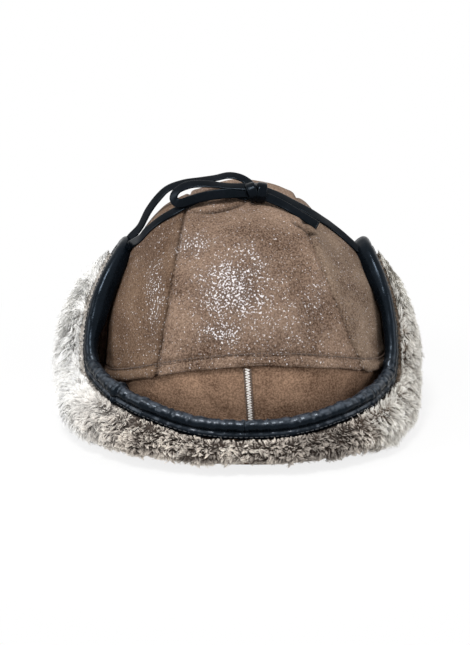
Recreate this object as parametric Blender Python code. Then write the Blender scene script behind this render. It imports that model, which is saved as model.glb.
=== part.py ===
"""Trapper hat: sewn leather crown, turned-up fur band with four folding flaps, and tied laces.

Sizes are in metres. The crown's middle is modelled at x = y = 0, the table at z = 0 and the brow at
-Y. Left and right are as seen from the brow, with left at -X. All pieces are then moved together so
that the origin is under the middle of the hat.
"""
import math

import bmesh
import bpy
from mathutils import Vector

# Crown
CROWN_HALF_WIDTH = 0.092
CROWN_HALF_LENGTH = 0.106
CROWN_SHOULDER = 0.038
CROWN_TOP = 0.150
SQUARENESS = 2.35
LEATHER = 0.0020
PILE = 0.0090
PILE_GAP = 0.0010
LEFT_SEAM_FROM_MIDDLE = 0.051
RIGHT_SEAM_FROM_MIDDLE = 0.067
LEFT_SEAM_LEAN = 0.17
RIGHT_SEAM_LEAN = 0.41
HEM_SIDE = 0.030
HEM_BROW = 0.057
HEM_NECK = 0.042
HEM_TILT = 0.004
LIP_HEIGHT = 0.0085
LIP_STEP = 0.0016
LIP_PROUD = 0.0018

# Groove that the tied laces press into the crown
GROOVE_Y = -0.029
GROOVE_DEPTH = 0.005
GROOVE_WIDTH = 0.012
GROOVE_HALF_LENGTH = 0.055

# Shoulders of the crown: let out on the left, pressed in by the tight lace on the right
SHOULDER_X = 0.055
SHOULDER_WIDTH = 0.017
SHOULDER_HALF_LENGTH = 0.050
LEFT_SHOULDER_DROP = -0.0040
RIGHT_SHOULDER_DROP = 0.0072
DROP_FADE = 0.050

# Turned-up band
LEFT_STANDOFF = 0.012
RIGHT_STANDOFF = 0.005
TIP_STANDOFF = 0.0055
BROW_STANDOFF = 0.012
NECK_STANDOFF = 0.010
BROW_EDGE = 0.025
NECK_EDGE = 0.040
LEFT_EDGE = 0.051
RIGHT_EDGE = 0.043
EAR_TIP = 0.108
EAR_HALF_LENGTH = 0.062
EAR_FULLNESS = 0.75
BROW_HALF_WIDTH = 0.050
FLAP_FLOOR = 0.0006
FUR_LEFT = 0.021
FUR_RIGHT = 0.018
FUR_BROW = 0.019
FUR_NECK = 0.019

# Binding round the band's free edge: a roll, a flange outside it and a turned-in leg inside
ROLL_RADIUS = 0.0042
FLANGE = 0.0055
FLANGE_PROUD = 0.0038
INNER_LEG = 0.0038
SLOT_GAP = 0.0009
FLANGE_GAP = 0.0012

# Laces
LACE_WIDTH = 0.0060
LACE_THICKNESS = 0.0022
LACE_STEP = 0.0090
KNOT_SIZE = (0.0115, 0.0105, 0.0095)
KNOT_BLUNTNESS = 0.6
KNOT_PLACE = (0.0070, -0.0282, 0.1478)

GAP = 0.0004

# Outline of the fur across the flap: share of the flap's height, share of the fur's depth
FUR_PROFILE = ((0.0, 0.18), (0.12, 0.62), (0.30, 1.0), (0.55, 0.93), (0.80, 0.64), (1.0, 0.26))

# Facets: columns run round the hat, rows run up it
DOME_COLUMNS = 40
DOME_ROWS = 12
ROOT_COLUMNS = 24
ROOT_ROWS = 3
SKIN_ROWS = 4
EAR_COLUMNS = 18
END_HALF_COLUMNS = 5
CORNER_COLUMNS = 5
ROLL_STEPS = 5
KNOT_COLUMNS = 12
KNOT_ROWS = 8
SHARP_ANGLE = math.radians(40)
WELD = 0.00001

# Routes of the laces
LEFT_LOWER_ROUTE = (
    (-0.0746, -0.0108, 0.1097), (-0.0705, -0.0180, 0.1134), (-0.0660, -0.0245, 0.1177),
    (-0.0618, -0.0262, 0.1228), (-0.0533, -0.0278, 0.1299), (-0.0453, -0.0272, 0.1345),
    (-0.0350, -0.0236, 0.1396), (-0.0258, -0.0213, 0.1435), (-0.0170, -0.0212, 0.1457),
    (-0.0085, -0.0236, 0.1455), (0.0004, -0.0268, 0.1439),
)
LEFT_UPPER_ROUTE = (
    (-0.0747, -0.0010, 0.1130), (-0.0684, -0.0040, 0.1203), (-0.0626, -0.0080, 0.1313),
    (-0.0564, -0.0110, 0.1400), (-0.0491, -0.0130, 0.1471), (-0.0395, -0.0145, 0.1508),
    (-0.0285, -0.0155, 0.1527), (-0.0190, -0.0160, 0.1543), (-0.0108, -0.0165, 0.1561),
    (-0.0044, -0.0175, 0.1554), (0.0006, -0.0188, 0.1532), (0.0039, -0.0213, 0.1508),
)
LOOP_ROUTE = (
    (0.0008, -0.0285, 0.1472), (-0.0063, -0.0285, 0.1469), (-0.0144, -0.0286, 0.1464),
    (-0.0220, -0.0278, 0.1452), (-0.0284, -0.0273, 0.1438), (-0.0346, -0.0276, 0.1420),
    (-0.0397, -0.0274, 0.1403), (-0.0433, -0.0260, 0.1406), (-0.0450, -0.0248, 0.1430),
    (-0.0439, -0.0240, 0.1462), (-0.0405, -0.0238, 0.1492), (-0.0347, -0.0240, 0.1514),
    (-0.0283, -0.0242, 0.1520), (-0.0214, -0.0244, 0.1517), (-0.0144, -0.0248, 0.1510),
    (-0.0075, -0.0256, 0.1506), (0.0008, -0.0268, 0.1506),
)
RIGHT_ROUTE = (
    (0.0131, -0.0246, 0.1478), (0.0220, -0.0230, 0.1441), (0.0284, -0.0229, 0.1407),
    (0.0348, -0.0220, 0.1371), (0.0413, -0.0195, 0.1331), (0.0479, -0.0155, 0.1284),
    (0.0549, -0.0105, 0.1229), (0.0616, -0.0082, 0.1172), (0.0682, -0.0088, 0.1114),
    (0.0725, -0.0102, 0.1077),
)
TAIL_ROUTE = (
    (0.0127, -0.0306, 0.1450), (0.0180, -0.0310, 0.1428), (0.0245, -0.0322, 0.1399),
    (0.0310, -0.0344, 0.1364), (0.0380, -0.0352, 0.1322), (0.0455, -0.0354, 0.1274),
)

# Finishes: colour, roughness
BROWN_LEATHER = ("brown_leather", (0.19, 0.115, 0.070), 0.70)
BAND_LEATHER = ("band_leather", (0.15, 0.090, 0.055), 0.75)
BLACK_LEATHER = ("black_leather", (0.012, 0.013, 0.016), 0.32)
CREAM_PILE = ("cream_pile", (0.50, 0.43, 0.36), 0.95)
GREY_FUR = ("grey_fur", (0.42, 0.37, 0.32), 0.95)

# What follows from the sizes above
LEFT, RIGHT = -1, 1
BROW, NECK = -1, 1
SIDE_STANDOFF = {LEFT: LEFT_STANDOFF, RIGHT: RIGHT_STANDOFF}
END_STANDOFF = {BROW: BROW_STANDOFF, NECK: NECK_STANDOFF}
SIDE_EDGE = {LEFT: LEFT_EDGE, RIGHT: RIGHT_EDGE}
END_EDGE = {BROW: BROW_EDGE, NECK: NECK_EDGE}
SIDE_FUR = {LEFT: FUR_LEFT, RIGHT: FUR_RIGHT}
END_FUR = {BROW: FUR_BROW, NECK: FUR_NECK}
SHOULDER_DROP = {LEFT: LEFT_SHOULDER_DROP, RIGHT: RIGHT_SHOULDER_DROP}
SEAM_FROM_MIDDLE = {LEFT: LEFT_SEAM_FROM_MIDDLE, RIGHT: RIGHT_SEAM_FROM_MIDDLE}
SEAM_LEAN = {LEFT: LEFT_SEAM_LEAN, RIGHT: RIGHT_SEAM_LEAN}
SIDE_HEM = {LEFT: HEM_SIDE, RIGHT: HEM_SIDE}
END_HEM = {BROW: HEM_BROW, NECK: HEM_NECK}
FUR_INSIDE = LEATHER + GAP
SIDE_REACH = {s: CROWN_HALF_WIDTH + SIDE_STANDOFF[s] + FUR_INSIDE + SIDE_FUR[s] for s in (LEFT, RIGHT)}
END_REACH = {e: CROWN_HALF_LENGTH + END_STANDOFF[e] + FUR_INSIDE + END_FUR[e] for e in (BROW, NECK)}
MIDDLE = Vector((
    (SIDE_REACH[LEFT] - SIDE_REACH[RIGHT]) / 2,
    (END_REACH[BROW] - END_REACH[NECK]) / 2,
    0.0,
))
NO_PIVOT = Vector((0.0, 0.0, 0.0))


def clear_scene():
    """Removes what is in the scene."""
    for item in list(bpy.data.objects):
        bpy.data.objects.remove(item, do_unlink=True)


def finish_material(finish):
    """The Principled material of a finish, made once."""
    name, colour, roughness = finish
    material = bpy.data.materials.get(name)
    if material is None:
        material = bpy.data.materials.new(name)
        material.use_nodes = True
        shader = material.node_tree.nodes["Principled BSDF"]
        shader.inputs["Base Color"].default_value = (*colour, 1.0)
        shader.inputs["Roughness"].default_value = roughness
        shader.inputs["Metallic"].default_value = 0.0
    return material


def add_piece(name, shape, finish, pivot=NO_PIVOT):
    """Makes a named object from a bmesh, with its origin on the pivot."""
    bmesh.ops.translate(shape, verts=shape.verts, vec=-pivot)
    mesh = bpy.data.meshes.new(name)
    shape.to_mesh(mesh)
    shape.free()
    mesh.shade_smooth()
    mesh.set_sharp_from_angle(angle=SHARP_ANGLE)
    mesh.materials.append(finish_material(finish))
    piece = bpy.data.objects.new(name, mesh)
    piece.location = pivot + MIDDLE
    HAT.objects.link(piece)


def mapped_grid(columns, rows, place):
    """An open grid whose corner (i, j) is moved to place(i, j)."""
    shape = bmesh.new()
    bmesh.ops.create_grid(shape, x_segments=columns, y_segments=rows, size=0.5)
    for vertex in shape.verts:
        i = round((vertex.co.x + 0.5) * columns)
        j = round((vertex.co.y + 0.5) * rows)
        vertex.co = place(i, j)
    return shape


def weld(shape):
    """Joins the points of a shape that lie in one place."""
    bmesh.ops.remove_doubles(shape, verts=shape.verts, dist=WELD)


def cap(shape):
    """Closes a shape's open ends and turns its faces outwards."""
    bmesh.ops.holes_fill(shape, edges=[edge for edge in shape.edges if edge.is_boundary])
    bmesh.ops.recalc_face_normals(shape, faces=shape.faces)


def swept(sections):
    """A solid through closed sections that all have the same number of points."""
    count = len(sections[0])
    shape = mapped_grid(len(sections) - 1, count, lambda i, j: sections[i][j % count])
    weld(shape)
    cap(shape)
    return shape


def cut(shape, point, normal):
    """Cuts a solid at a plane, removes what lies on the normal's side and closes the cut."""
    bmesh.ops.bisect_plane(
        shape, geom=shape.verts[:] + shape.edges[:] + shape.faces[:],
        dist=WELD / 10, plane_co=point, plane_no=normal, clear_outer=True,
    )
    cap(shape)


def side_of(x):
    """LEFT or RIGHT."""
    return LEFT if x < 0 else RIGHT


def end_of(y):
    """BROW or NECK."""
    return BROW if y < 0 else NECK


def mix(x, y, sides, ends):
    """A value at a point of the unit oval, between that of its side and that of its end."""
    across = abs(x) ** SQUARENESS
    return across * sides[side_of(x)] + (1.0 - across) * ends[end_of(y)]


def crown_share(height, inset=0.0):
    """How much of the crown's plan is left at a height: 1 on the wall, 0 at the top."""
    rise = max(height - CROWN_SHOULDER, 0.0) / (CROWN_TOP - inset - CROWN_SHOULDER)
    return math.sqrt(max(1.0 - rise * rise, 0.0))


def oval(angle):
    """Point of the squarish unit oval at an angle from +X."""
    power = 2.0 / SQUARENESS
    x = math.copysign(abs(math.cos(angle)) ** power, math.cos(angle))
    y = math.copysign(abs(math.sin(angle)) ** power, math.sin(angle))
    return x, y


def hem_height(x, y):
    """Height of the crown's hem at a point of the unit oval."""
    return mix(x, y, SIDE_HEM, END_HEM) + HEM_TILT * x


def groove_drop(x, y):
    """How far the bow presses the crown in."""
    across = math.exp(-((y - GROOVE_Y) / GROOVE_WIDTH) ** 2)
    along = math.exp(-(x / GROOVE_HALF_LENGTH) ** 4)
    return GROOVE_DEPTH * across * along


def shoulder_drop(x, y):
    """How far a shoulder of the crown lies below the round dome."""
    across = math.exp(-((abs(x) - SHOULDER_X) / SHOULDER_WIDTH) ** 2)
    along = math.exp(-(y / SHOULDER_HALF_LENGTH) ** 4)
    return SHOULDER_DROP[side_of(x)] * across * along


def dome_point(angle, height, inset):
    """Point of the crown's dome, inset from its outside."""
    x, y = oval(angle)
    share = crown_share(height, inset)
    x *= (CROWN_HALF_WIDTH - inset) * share
    y *= (CROWN_HALF_LENGTH - inset) * share
    fade = min(max(height - CROWN_SHOULDER, 0.0) / DROP_FADE, 1.0) ** 2
    return Vector((x, y, height - fade * (groove_drop(x, y) + shoulder_drop(x, y))))


def dome_shell(inset, thickness, lip):
    """A closed layer of the crown's dome, with its lower edge turned up into a lip or plain."""
    turned = ((0.0, LIP_PROUD), (LIP_HEIGHT, LIP_PROUD), (LIP_HEIGHT + LIP_STEP, 0.0))
    plain = ((0.0, 0.0), (LIP_HEIGHT + LIP_STEP, 0.0))

    def meridian(angle, depth, foot):
        hem = hem_height(*oval(angle))
        points = [dome_point(angle, hem + up, depth - proud) for up, proud in foot]
        start = hem + foot[-1][0]
        rise = CROWN_TOP - depth - start
        turns = [math.pi / 2 * j / DOME_ROWS for j in range(1, DOME_ROWS + 1)]
        return points + [dome_point(angle, start + rise * math.sin(turn), depth) for turn in turns]

    sections = []
    for i in range(DOME_COLUMNS + 1):
        angle = 2.0 * math.pi * i / DOME_COLUMNS
        outside = meridian(angle, inset, turned if lip else plain)
        inside = meridian(angle, inset + thickness, plain)
        sections.append(outside + inside[::-1])
    count = len(sections[0])
    shape = mapped_grid(DOME_COLUMNS, count, lambda i, j: sections[i][j % count])
    weld(shape)
    loose = [edge for edge in shape.edges if edge.is_wire]
    bmesh.ops.delete(shape, geom=loose, context="EDGES")
    cap(shape)
    return shape


def seam_cut(shape, side, keep_middle):
    """Cuts a crown layer at one of the two seams."""
    clear = -GAP / 2 if keep_middle else GAP / 2
    point = Vector((side * (SEAM_FROM_MIDDLE[side] + clear), 0.0, HEM_BROW))
    outward = Vector((side, 0.0, SEAM_LEAN[side])).normalized()
    cut(shape, point, outward if keep_middle else -outward)


def make_crown():
    """The crown's three leather panels and the pile inside each."""
    layers = (
        ("panel", 0.0, LEATHER, True, BROWN_LEATHER),
        ("pile", LEATHER + PILE_GAP, PILE, False, CREAM_PILE),
    )
    for word, inset, thickness, lip, finish in layers:
        middle = dome_shell(inset, thickness, lip)
        seam_cut(middle, LEFT, True)
        seam_cut(middle, RIGHT, True)
        add_piece("crown_centre_" + word, middle, finish)
        for side, where in ((LEFT, "left"), (RIGHT, "right")):
            panel = dome_shell(inset, thickness, lip)
            seam_cut(panel, side, False)
            add_piece("crown_" + where + "_" + word, panel, finish)


def root_section(angle, inset, thickness, foot, side):
    """Section of the band between table and hem at an angle, with a foot out to the fold if asked."""
    x, y = oval(angle)
    top = hem_height(x, y) - GAP
    floor = LEATHER if foot else 0.0
    rises = [floor + (top - floor) * row / ROOT_ROWS for row in range(ROOT_ROWS + 1)]
    spots = [(inset, rise) for rise in rises]
    spots += [(inset + thickness, rise) for rise in reversed(rises)]
    if foot:
        fold = GAP / 2 - mix(x, y, SIDE_STANDOFF, END_STANDOFF) / 2
        spots += [(inset + thickness, 0.0), (fold, 0.0), (fold, floor)]
    section = []
    for depth, height in spots:
        share = crown_share(height)
        section.append(Vector((
            x * (CROWN_HALF_WIDTH - depth) * share + side * GAP / 2,
            y * (CROWN_HALF_LENGTH - depth) * share,
            height,
        )))
    return section


def make_band_root():
    """The part of the band between the crown's hem and the fold, in two halves."""
    layers = (
        ("skin", GAP, LEATHER, True, BAND_LEATHER),
        ("pile", GAP + LEATHER + PILE_GAP, PILE, False, CREAM_PILE),
    )
    for word, inset, thickness, foot, finish in layers:
        for side, where in ((LEFT, "left"), (RIGHT, "right")):
            middle = math.pi if side == LEFT else 0.0
            shares = [i / ROOT_COLUMNS - 0.5 for i in range(ROOT_COLUMNS + 1)]
            angles = [middle + math.pi * share for share in shares]
            sections = [root_section(angle, inset, thickness, foot, side) for angle in angles]
            add_piece("band_root_" + word + "_" + where, swept(sections), finish)


class Station:
    """A vertical plane through the band, as a start point and a direction outwards."""

    def __init__(self, start, direction):
        self.start = Vector(start)
        self.direction = Vector(direction).normalized()
        self.normal = Vector((-self.direction.y, self.direction.x, 0.0))
        place = self.reach(CROWN_HALF_WIDTH, CROWN_HALF_LENGTH)
        unit = (place.x / CROWN_HALF_WIDTH, place.y / CROWN_HALF_LENGTH)
        self.across = abs(unit[0]) ** SQUARENESS
        self.low_standoff = mix(*unit, SIDE_STANDOFF, END_STANDOFF)
        self.fur = mix(*unit, SIDE_FUR, END_FUR)
        low = mix(*unit, SIDE_EDGE, END_EDGE)
        swell = (1.0 + math.cos(math.pi * min(abs(place.y) / EAR_HALF_LENGTH, 1.0))) / 2
        self.edge = low + (EAR_TIP - low) * swell ** EAR_FULLNESS

    def reach(self, half_width, half_length):
        """Where the station's line leaves a squarish oval."""
        near = 0.0
        far = 2.0 * (half_width + half_length)
        for _ in range(40):
            middle = (near + far) / 2
            point = self.start + self.direction * middle
            across = abs(point.x / half_width) ** SQUARENESS
            along = abs(point.y / half_length) ** SQUARENESS
            if across + along < 1.0:
                near = middle
            else:
                far = middle
        return self.start + self.direction * near

    def standoff(self, height):
        """How far the band stands off the crown: its own distance, and that of the tip above."""
        rise = min(max(height / EAR_TIP, 0.0), 1.0) ** 3
        return self.low_standoff + (TIP_STANDOFF - self.low_standoff) * rise * self.across

    def point(self, height, outside):
        """Point of the band at a height, outside its inner face by a distance."""
        share = crown_share(height)
        extra = self.standoff(height) + outside
        half_width = CROWN_HALF_WIDTH * share + extra
        half_length = CROWN_HALF_LENGTH * share + extra
        place = self.reach(half_width, half_length)
        return Vector((place.x, place.y, height))


def ear_stations(side):
    """Stations of an ear flap, from brow to neck."""
    half = EAR_HALF_LENGTH - GAP / 2
    ys = [half * (2.0 * i / EAR_COLUMNS - 1.0) for i in range(EAR_COLUMNS + 1)]
    return [Station((0.0, y, 0.0), (side, 0.0, 0.0)) for y in ys]


def end_stations(end, first, last, count):
    """Stations of the brow or neck flap between two distances from the middle."""
    xs = [first + (last - first) * i / count for i in range(count + 1)]
    return [Station((x, 0.0, 0.0), (0.0, end, 0.0)) for x in xs]


def corner_stations(side, end):
    """Stations of a corner, turning from the ear flap's plane to the end flap's plane."""
    start = (side * (BROW_HALF_WIDTH + GAP / 2), end * (EAR_HALF_LENGTH + GAP / 2), 0.0)
    turns = [math.pi / 2 * i / CORNER_COLUMNS for i in range(CORNER_COLUMNS + 1)]
    return [Station(start, (side * math.cos(turn), end * math.sin(turn), 0.0)) for turn in turns]


def edge_frames(stations):
    """Place, run and outward direction of the band's edge at each station."""
    step = FLANGE + ROLL_RADIUS
    places = [station.point(station.edge, LEATHER / 2) for station in stations]
    frames = []
    for i, station in enumerate(stations):
        before = places[max(i - 1, 0)]
        after = places[min(i + 1, len(places) - 1)]
        run = (after - before).normalized()
        up = places[i] - station.point(station.edge - step, LEATHER / 2)
        outward = run.cross(up).normalized()
        if outward.dot(station.direction) < 0.0:
            outward = -outward
        frames.append((places[i], run, outward))
    return frames


def binding_outline():
    """Section of the binding: a roll over the band's edge with a slot for the skin and a flange."""
    slot = LEATHER / 2 + SLOT_GAP
    arc = [math.pi * (1.0 - i / ROLL_STEPS) for i in range(ROLL_STEPS + 1)]
    roll = [(ROLL_RADIUS * math.cos(turn), SLOT_GAP + ROLL_RADIUS * math.sin(turn)) for turn in arc]
    inner_leg = [(-slot, SLOT_GAP), (-slot, -INNER_LEG), (-ROLL_RADIUS, -INNER_LEG)]
    outer_leg = [(FLANGE_PROUD, -FLANGE), (slot, -FLANGE), (slot, SLOT_GAP)]
    return inner_leg + roll + outer_leg


def make_binding(name, stations, pivot):
    """A stretch of binding along the band's edge, each section in its station's plane."""
    outline = binding_outline()
    sections = []
    for station, (place, run, outward) in zip(stations, edge_frames(stations)):
        off_edge = outward.cross(run).normalized()
        if off_edge.z < 0.0:
            off_edge = -off_edge
        section = []
        for across, up in outline:
            point = place + outward * across + off_edge * up
            slide = (point - place).dot(station.normal) / run.dot(station.normal)
            section.append(point - run * slide)
        sections.append(section)
    add_piece(name, swept(sections), BLACK_LEATHER, pivot)


def heights_under_edge(stations, distance):
    """Height at each station that lies a distance from the band's edge, square to the edge."""
    heights = []
    for station, (_, run, _) in zip(stations, edge_frames(stations)):
        heights.append(station.edge - distance / math.hypot(run.x, run.y))
    return heights


def skin_rows(stations):
    """Heights of the facets up the band at each station, from the fold to the binding."""
    held = heights_under_edge(stations, FLANGE + ROLL_RADIUS)
    shares = [row / SKIN_ROWS for row in range(SKIN_ROWS + 1)]
    return [[FLAP_FLOOR + (top - FLAP_FLOOR) * share for share in shares] for top in held]


def make_skin(name, stations, pivot):
    """A stretch of the turned-up band's leather side, with a foot in to the fold."""
    sections = []
    for station, rows in zip(stations, skin_rows(stations)):
        heights = rows + [station.edge]
        foot_top = FLAP_FLOOR + LEATHER
        fold = (GAP - station.low_standoff) / 2
        outer = [station.point(height, LEATHER) for height in heights]
        inner = [station.point(height, 0.0) for height in reversed(heights[1:])]
        foot = [(foot_top, 0.0), (foot_top, fold), (FLAP_FLOOR, fold)]
        sections.append(outer + inner + [station.point(*spot) for spot in foot])
    add_piece(name, swept(sections), BAND_LEATHER, pivot)


def make_fur(name, stations, pivot):
    """A stretch of the fur outside the turned-up band, under the binding's flange."""
    tops = heights_under_edge(stations, FLANGE + FLANGE_GAP)
    sections = []
    for station, rows, top in zip(stations, skin_rows(stations), tops):
        inner = [station.point(height, FUR_INSIDE) for height in rows + [top]]
        outer = [
            station.point(FLAP_FLOOR + (top - FLAP_FLOOR) * up, FUR_INSIDE + station.fur * depth)
            for up, depth in reversed(FUR_PROFILE)
        ]
        sections.append(inner + outer)
    add_piece(name, swept(sections), GREY_FUR, pivot)


def make_ear_flaps():
    """The left and right ear flaps, each with its origin on its fold."""
    for side, where in ((LEFT, "left"), (RIGHT, "right")):
        fold = side * (CROWN_HALF_WIDTH + SIDE_STANDOFF[side] / 2)
        pivot = Vector((fold, 0.0, 0.0))
        stations = ear_stations(side)
        make_skin(where + "_ear_skin", stations, pivot)
        make_fur(where + "_ear_fur", stations, pivot)
        make_binding(where + "_ear_binding", stations, pivot)


def make_end_flaps():
    """The brow and neck flaps, each skin in two halves that meet at the centre seam."""
    for end, where in ((BROW, "brow"), (NECK, "neck")):
        fold = end * (CROWN_HALF_LENGTH + END_STANDOFF[end] / 2)
        pivot = Vector((0.0, fold, 0.0))
        outer = BROW_HALF_WIDTH - GAP / 2
        inner = GAP / 2
        whole = end_stations(end, -outer, outer, 2 * END_HALF_COLUMNS)
        make_fur(where + "_fur", whole, pivot)
        make_binding(where + "_binding", whole, pivot)
        left = end_stations(end, -outer, -inner, END_HALF_COLUMNS)
        right = end_stations(end, inner, outer, END_HALF_COLUMNS)
        make_skin(where + "_skin_left", left, pivot)
        make_skin(where + "_skin_right", right, pivot)


def make_corners():
    """The four soft corners between the flaps, which stay on the crown."""
    for end, front in ((BROW, "brow"), (NECK, "neck")):
        for side, where in ((LEFT, "left"), (RIGHT, "right")):
            name = front + "_" + where + "_corner_"
            stations = corner_stations(side, end)
            make_skin(name + "skin", stations, NO_PIVOT)
            make_fur(name + "fur", stations, NO_PIVOT)
            make_binding(name + "binding", stations, NO_PIVOT)


def smooth_route(route, spacing):
    """Points along a smooth curve through a route, about evenly spaced."""
    knots = [Vector(point) for point in route]
    ends = [2 * knots[0] - knots[1]] + knots + [2 * knots[-1] - knots[-2]]
    points = []
    for a, b, c, d in zip(ends, ends[1:], ends[2:], ends[3:]):
        steps = max(1, round((c - b).length / spacing))
        for i in range(steps):
            t = i / steps
            bend = (2 * a - 5 * b + 4 * c - d) * t * t + (3 * b - a - 3 * c + d) * t * t * t
            points.append((2 * b + (c - a) * t + bend) / 2)
    return points + [knots[-1]]


def crown_normal(point):
    """Direction square to the round dome, through a point near it."""
    half_height = CROWN_TOP - CROWN_SHOULDER
    return Vector((
        point.x / CROWN_HALF_WIDTH ** 2,
        point.y / CROWN_HALF_LENGTH ** 2,
        (point.z - CROWN_SHOULDER) / half_height ** 2,
    )).normalized()


def lean(before, point, after):
    """How far a thong turns about its run from lying level to lying along the crown."""
    run = (after - before).normalized()
    across = run.cross(Vector((0.0, 0.0, 1.0))).normalized()
    level = across.cross(run)
    normal = crown_normal(point)
    return math.atan2(normal.dot(across), normal.dot(level))


def make_lace(name, route, pivot):
    """A flat leather thong along a route, its flat side along the crown."""
    points = smooth_route(route, LACE_STEP)
    line = bpy.data.curves.new(name, "CURVE")
    line.dimensions = "3D"
    line.twist_mode = "Z_UP"
    line.bevel_depth = LACE_THICKNESS / 2
    line.bevel_resolution = 2
    line.extrude = (LACE_WIDTH - LACE_THICKNESS) / 2
    line.use_fill_caps = True
    spline = line.splines.new("POLY")
    spline.points.add(len(points) - 1)
    befores = points[:1] + points[:-1]
    afters = points[1:] + points[-1:]
    for spot, before, point, after in zip(spline.points, befores, points, afters):
        spot.co = (*(point - pivot), 1.0)
        spot.tilt = math.pi / 2 + lean(before, point, after)
    line.materials.append(finish_material(BLACK_LEATHER))
    lace = bpy.data.objects.new(name, line)
    lace.location = pivot + MIDDLE
    HAT.objects.link(lace)


def make_knot(pivot):
    """The knot of the bow: a rounded block of wrapped thong."""
    shape = bmesh.new()
    bmesh.ops.create_uvsphere(shape, u_segments=KNOT_COLUMNS, v_segments=KNOT_ROWS, radius=0.5)
    for vertex in shape.verts:
        vertex.co = Vector([
            size * math.copysign(abs(2 * value) ** KNOT_BLUNTNESS, value) / 2 + place
            for size, value, place in zip(KNOT_SIZE, vertex.co, KNOT_PLACE)
        ])
    add_piece("bow_knot", shape, BLACK_LEATHER, pivot)


def make_laces():
    """The laces of both ear flaps, with the bow that ties them."""
    left_pivot = Vector(LEFT_UPPER_ROUTE[0])
    right_pivot = Vector(RIGHT_ROUTE[-1])
    make_lace("left_lace_lower", LEFT_LOWER_ROUTE, left_pivot)
    make_lace("left_lace_upper", LEFT_UPPER_ROUTE, left_pivot)
    make_lace("bow_loop", LOOP_ROUTE, left_pivot)
    make_lace("right_lace", RIGHT_ROUTE, right_pivot)
    make_lace("bow_tail", TAIL_ROUTE, right_pivot)
    make_knot(right_pivot)


clear_scene()
HAT = bpy.data.collections.new("trapper_hat")
bpy.context.scene.collection.children.link(HAT)
make_crown()
make_band_root()
make_ear_flaps()
make_end_flaps()
make_corners()
make_laces()
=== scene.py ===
"""Looks of the trapper hat: worn leather crown, turned-up fur band, bound edge and tied laces.

Sizes are in metres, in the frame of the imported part: +Z is up, the brow is at -Y and left is at -X.
"""
import logging
import math
from dataclasses import dataclass, field, fields, replace
from enum import Enum
from functools import cache
from itertools import product
from typing import Callable, Sequence, Union

import bmesh
import bpy
import numpy as np
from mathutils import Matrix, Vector
from mathutils.kdtree import KDTree


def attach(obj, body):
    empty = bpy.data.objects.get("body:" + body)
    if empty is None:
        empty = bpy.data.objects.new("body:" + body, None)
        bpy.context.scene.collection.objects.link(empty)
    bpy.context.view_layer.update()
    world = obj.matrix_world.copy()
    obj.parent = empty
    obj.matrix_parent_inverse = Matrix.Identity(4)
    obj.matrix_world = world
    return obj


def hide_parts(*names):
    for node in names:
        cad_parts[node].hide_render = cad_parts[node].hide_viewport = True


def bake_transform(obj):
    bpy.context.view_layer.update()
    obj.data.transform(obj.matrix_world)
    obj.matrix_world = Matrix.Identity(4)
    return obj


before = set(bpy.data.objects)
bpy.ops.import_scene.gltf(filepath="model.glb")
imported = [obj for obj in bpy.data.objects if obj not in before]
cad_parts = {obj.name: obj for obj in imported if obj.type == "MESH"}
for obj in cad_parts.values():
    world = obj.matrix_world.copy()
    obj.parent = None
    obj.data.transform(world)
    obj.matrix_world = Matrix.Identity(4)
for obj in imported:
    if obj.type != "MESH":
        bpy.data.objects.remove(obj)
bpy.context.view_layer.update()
LOG = logging.getLogger("trapper_hat")
REST = "rest_place"
# Stored point colours: the hairs' and pelt's tints, and on the crown panels the painted shade of seams and
# folds.
TINT = "hair_tint"
BAKE_MAP = "OFBake"
UP = np.array((0.0, 0.0, 1.0))
FULL_TURN = 2 * math.pi
QUARTER_TURN = math.pi / 2
HALVINGS = 40
HAT_HEART = (0.0, 0.0, 0.04)
THREAD_SIDES = 6
STITCH_PROFILE = (
    (-0.5, 0.45, -0.6), (-0.42, 0.95, 0.1), (0.0, 1.0, 0.5), (0.42, 0.95, 0.1), (0.5, 0.45, -0.6),
)
TUBE_FACING = (0.02, -1.0, 0.03)
BAND_SKIN = 0.0018
FOLD_RADIUS = 0.006
FOLD_ROWS = 8
CELL_PRIMES = np.array((73856093, 19349663, 83492791))
SEED_PRIME = 668265263
MIXING_PRIME = 1274126177
LOW_BITS = 0x7FFFFFFF
LOWEST_BITS = 0xFFFF
Array = np.ndarray
Pair = tuple[float, float]
Colour = tuple[float, float, float]
Point = tuple[float, float, float]
Section = tuple[float, float, float, float]
Layers = tuple[tuple[float, float, int], ...]
Piece = bpy.types.Object
Tree = bpy.types.NodeTree
Shape = bmesh.types.BMesh
Chance = np.random.Generator
Node = bpy.types.Node
Socket = bpy.types.NodeSocket
Value = Union[float, Socket]
Tone = Union[Colour, Socket]


class Named(Enum):
    """A choice that names pieces."""

    @property
    def word(self) -> str:
        """Its word in the names of pieces."""
        return self.name.lower()


class Side(Named):
    """A side of the hat, as seen from the brow."""

    LEFT = -1
    RIGHT = 1

    def pick(self, pair: Pair) -> float:
        """This side's value of a (left, right) pair."""
        return pair[self is Side.RIGHT]


class End(Named):
    """An end of the hat."""

    BROW = -1
    NECK = 1


class Slot(Enum):
    """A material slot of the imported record."""

    CROWN = "brown_leather"
    BAND = "band_leather"
    BLACK = "black_leather"
    PILE = "cream_pile"
    FUR = "grey_fur"


# Numbers on arrays


def unit(vectors: Array) -> Array:
    """Vectors of length one, in the directions of those along the last axis."""
    return vectors / np.maximum(np.linalg.norm(vectors, axis=-1, keepdims=True), 1e-12)


def ease(values: Array, low: float, high: float) -> Array:
    """A smooth step from 0 at low to 1 at high, which may be less than low."""
    t = np.clip((values - low) / (high - low), 0.0, 1.0)
    return t * t * (3.0 - 2.0 * t)


def bell(values: Array, middle: float, width: float) -> Array:
    """A smooth swell, 1 at its middle and about a third at its width on either side."""
    return np.exp(-((values - middle) / width) ** 2)


def squared(value: float, power: float) -> float:
    """A sine or cosine that stays longer near its ends, for a section with flat sides."""
    return math.copysign(abs(value) ** power, value)


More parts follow.
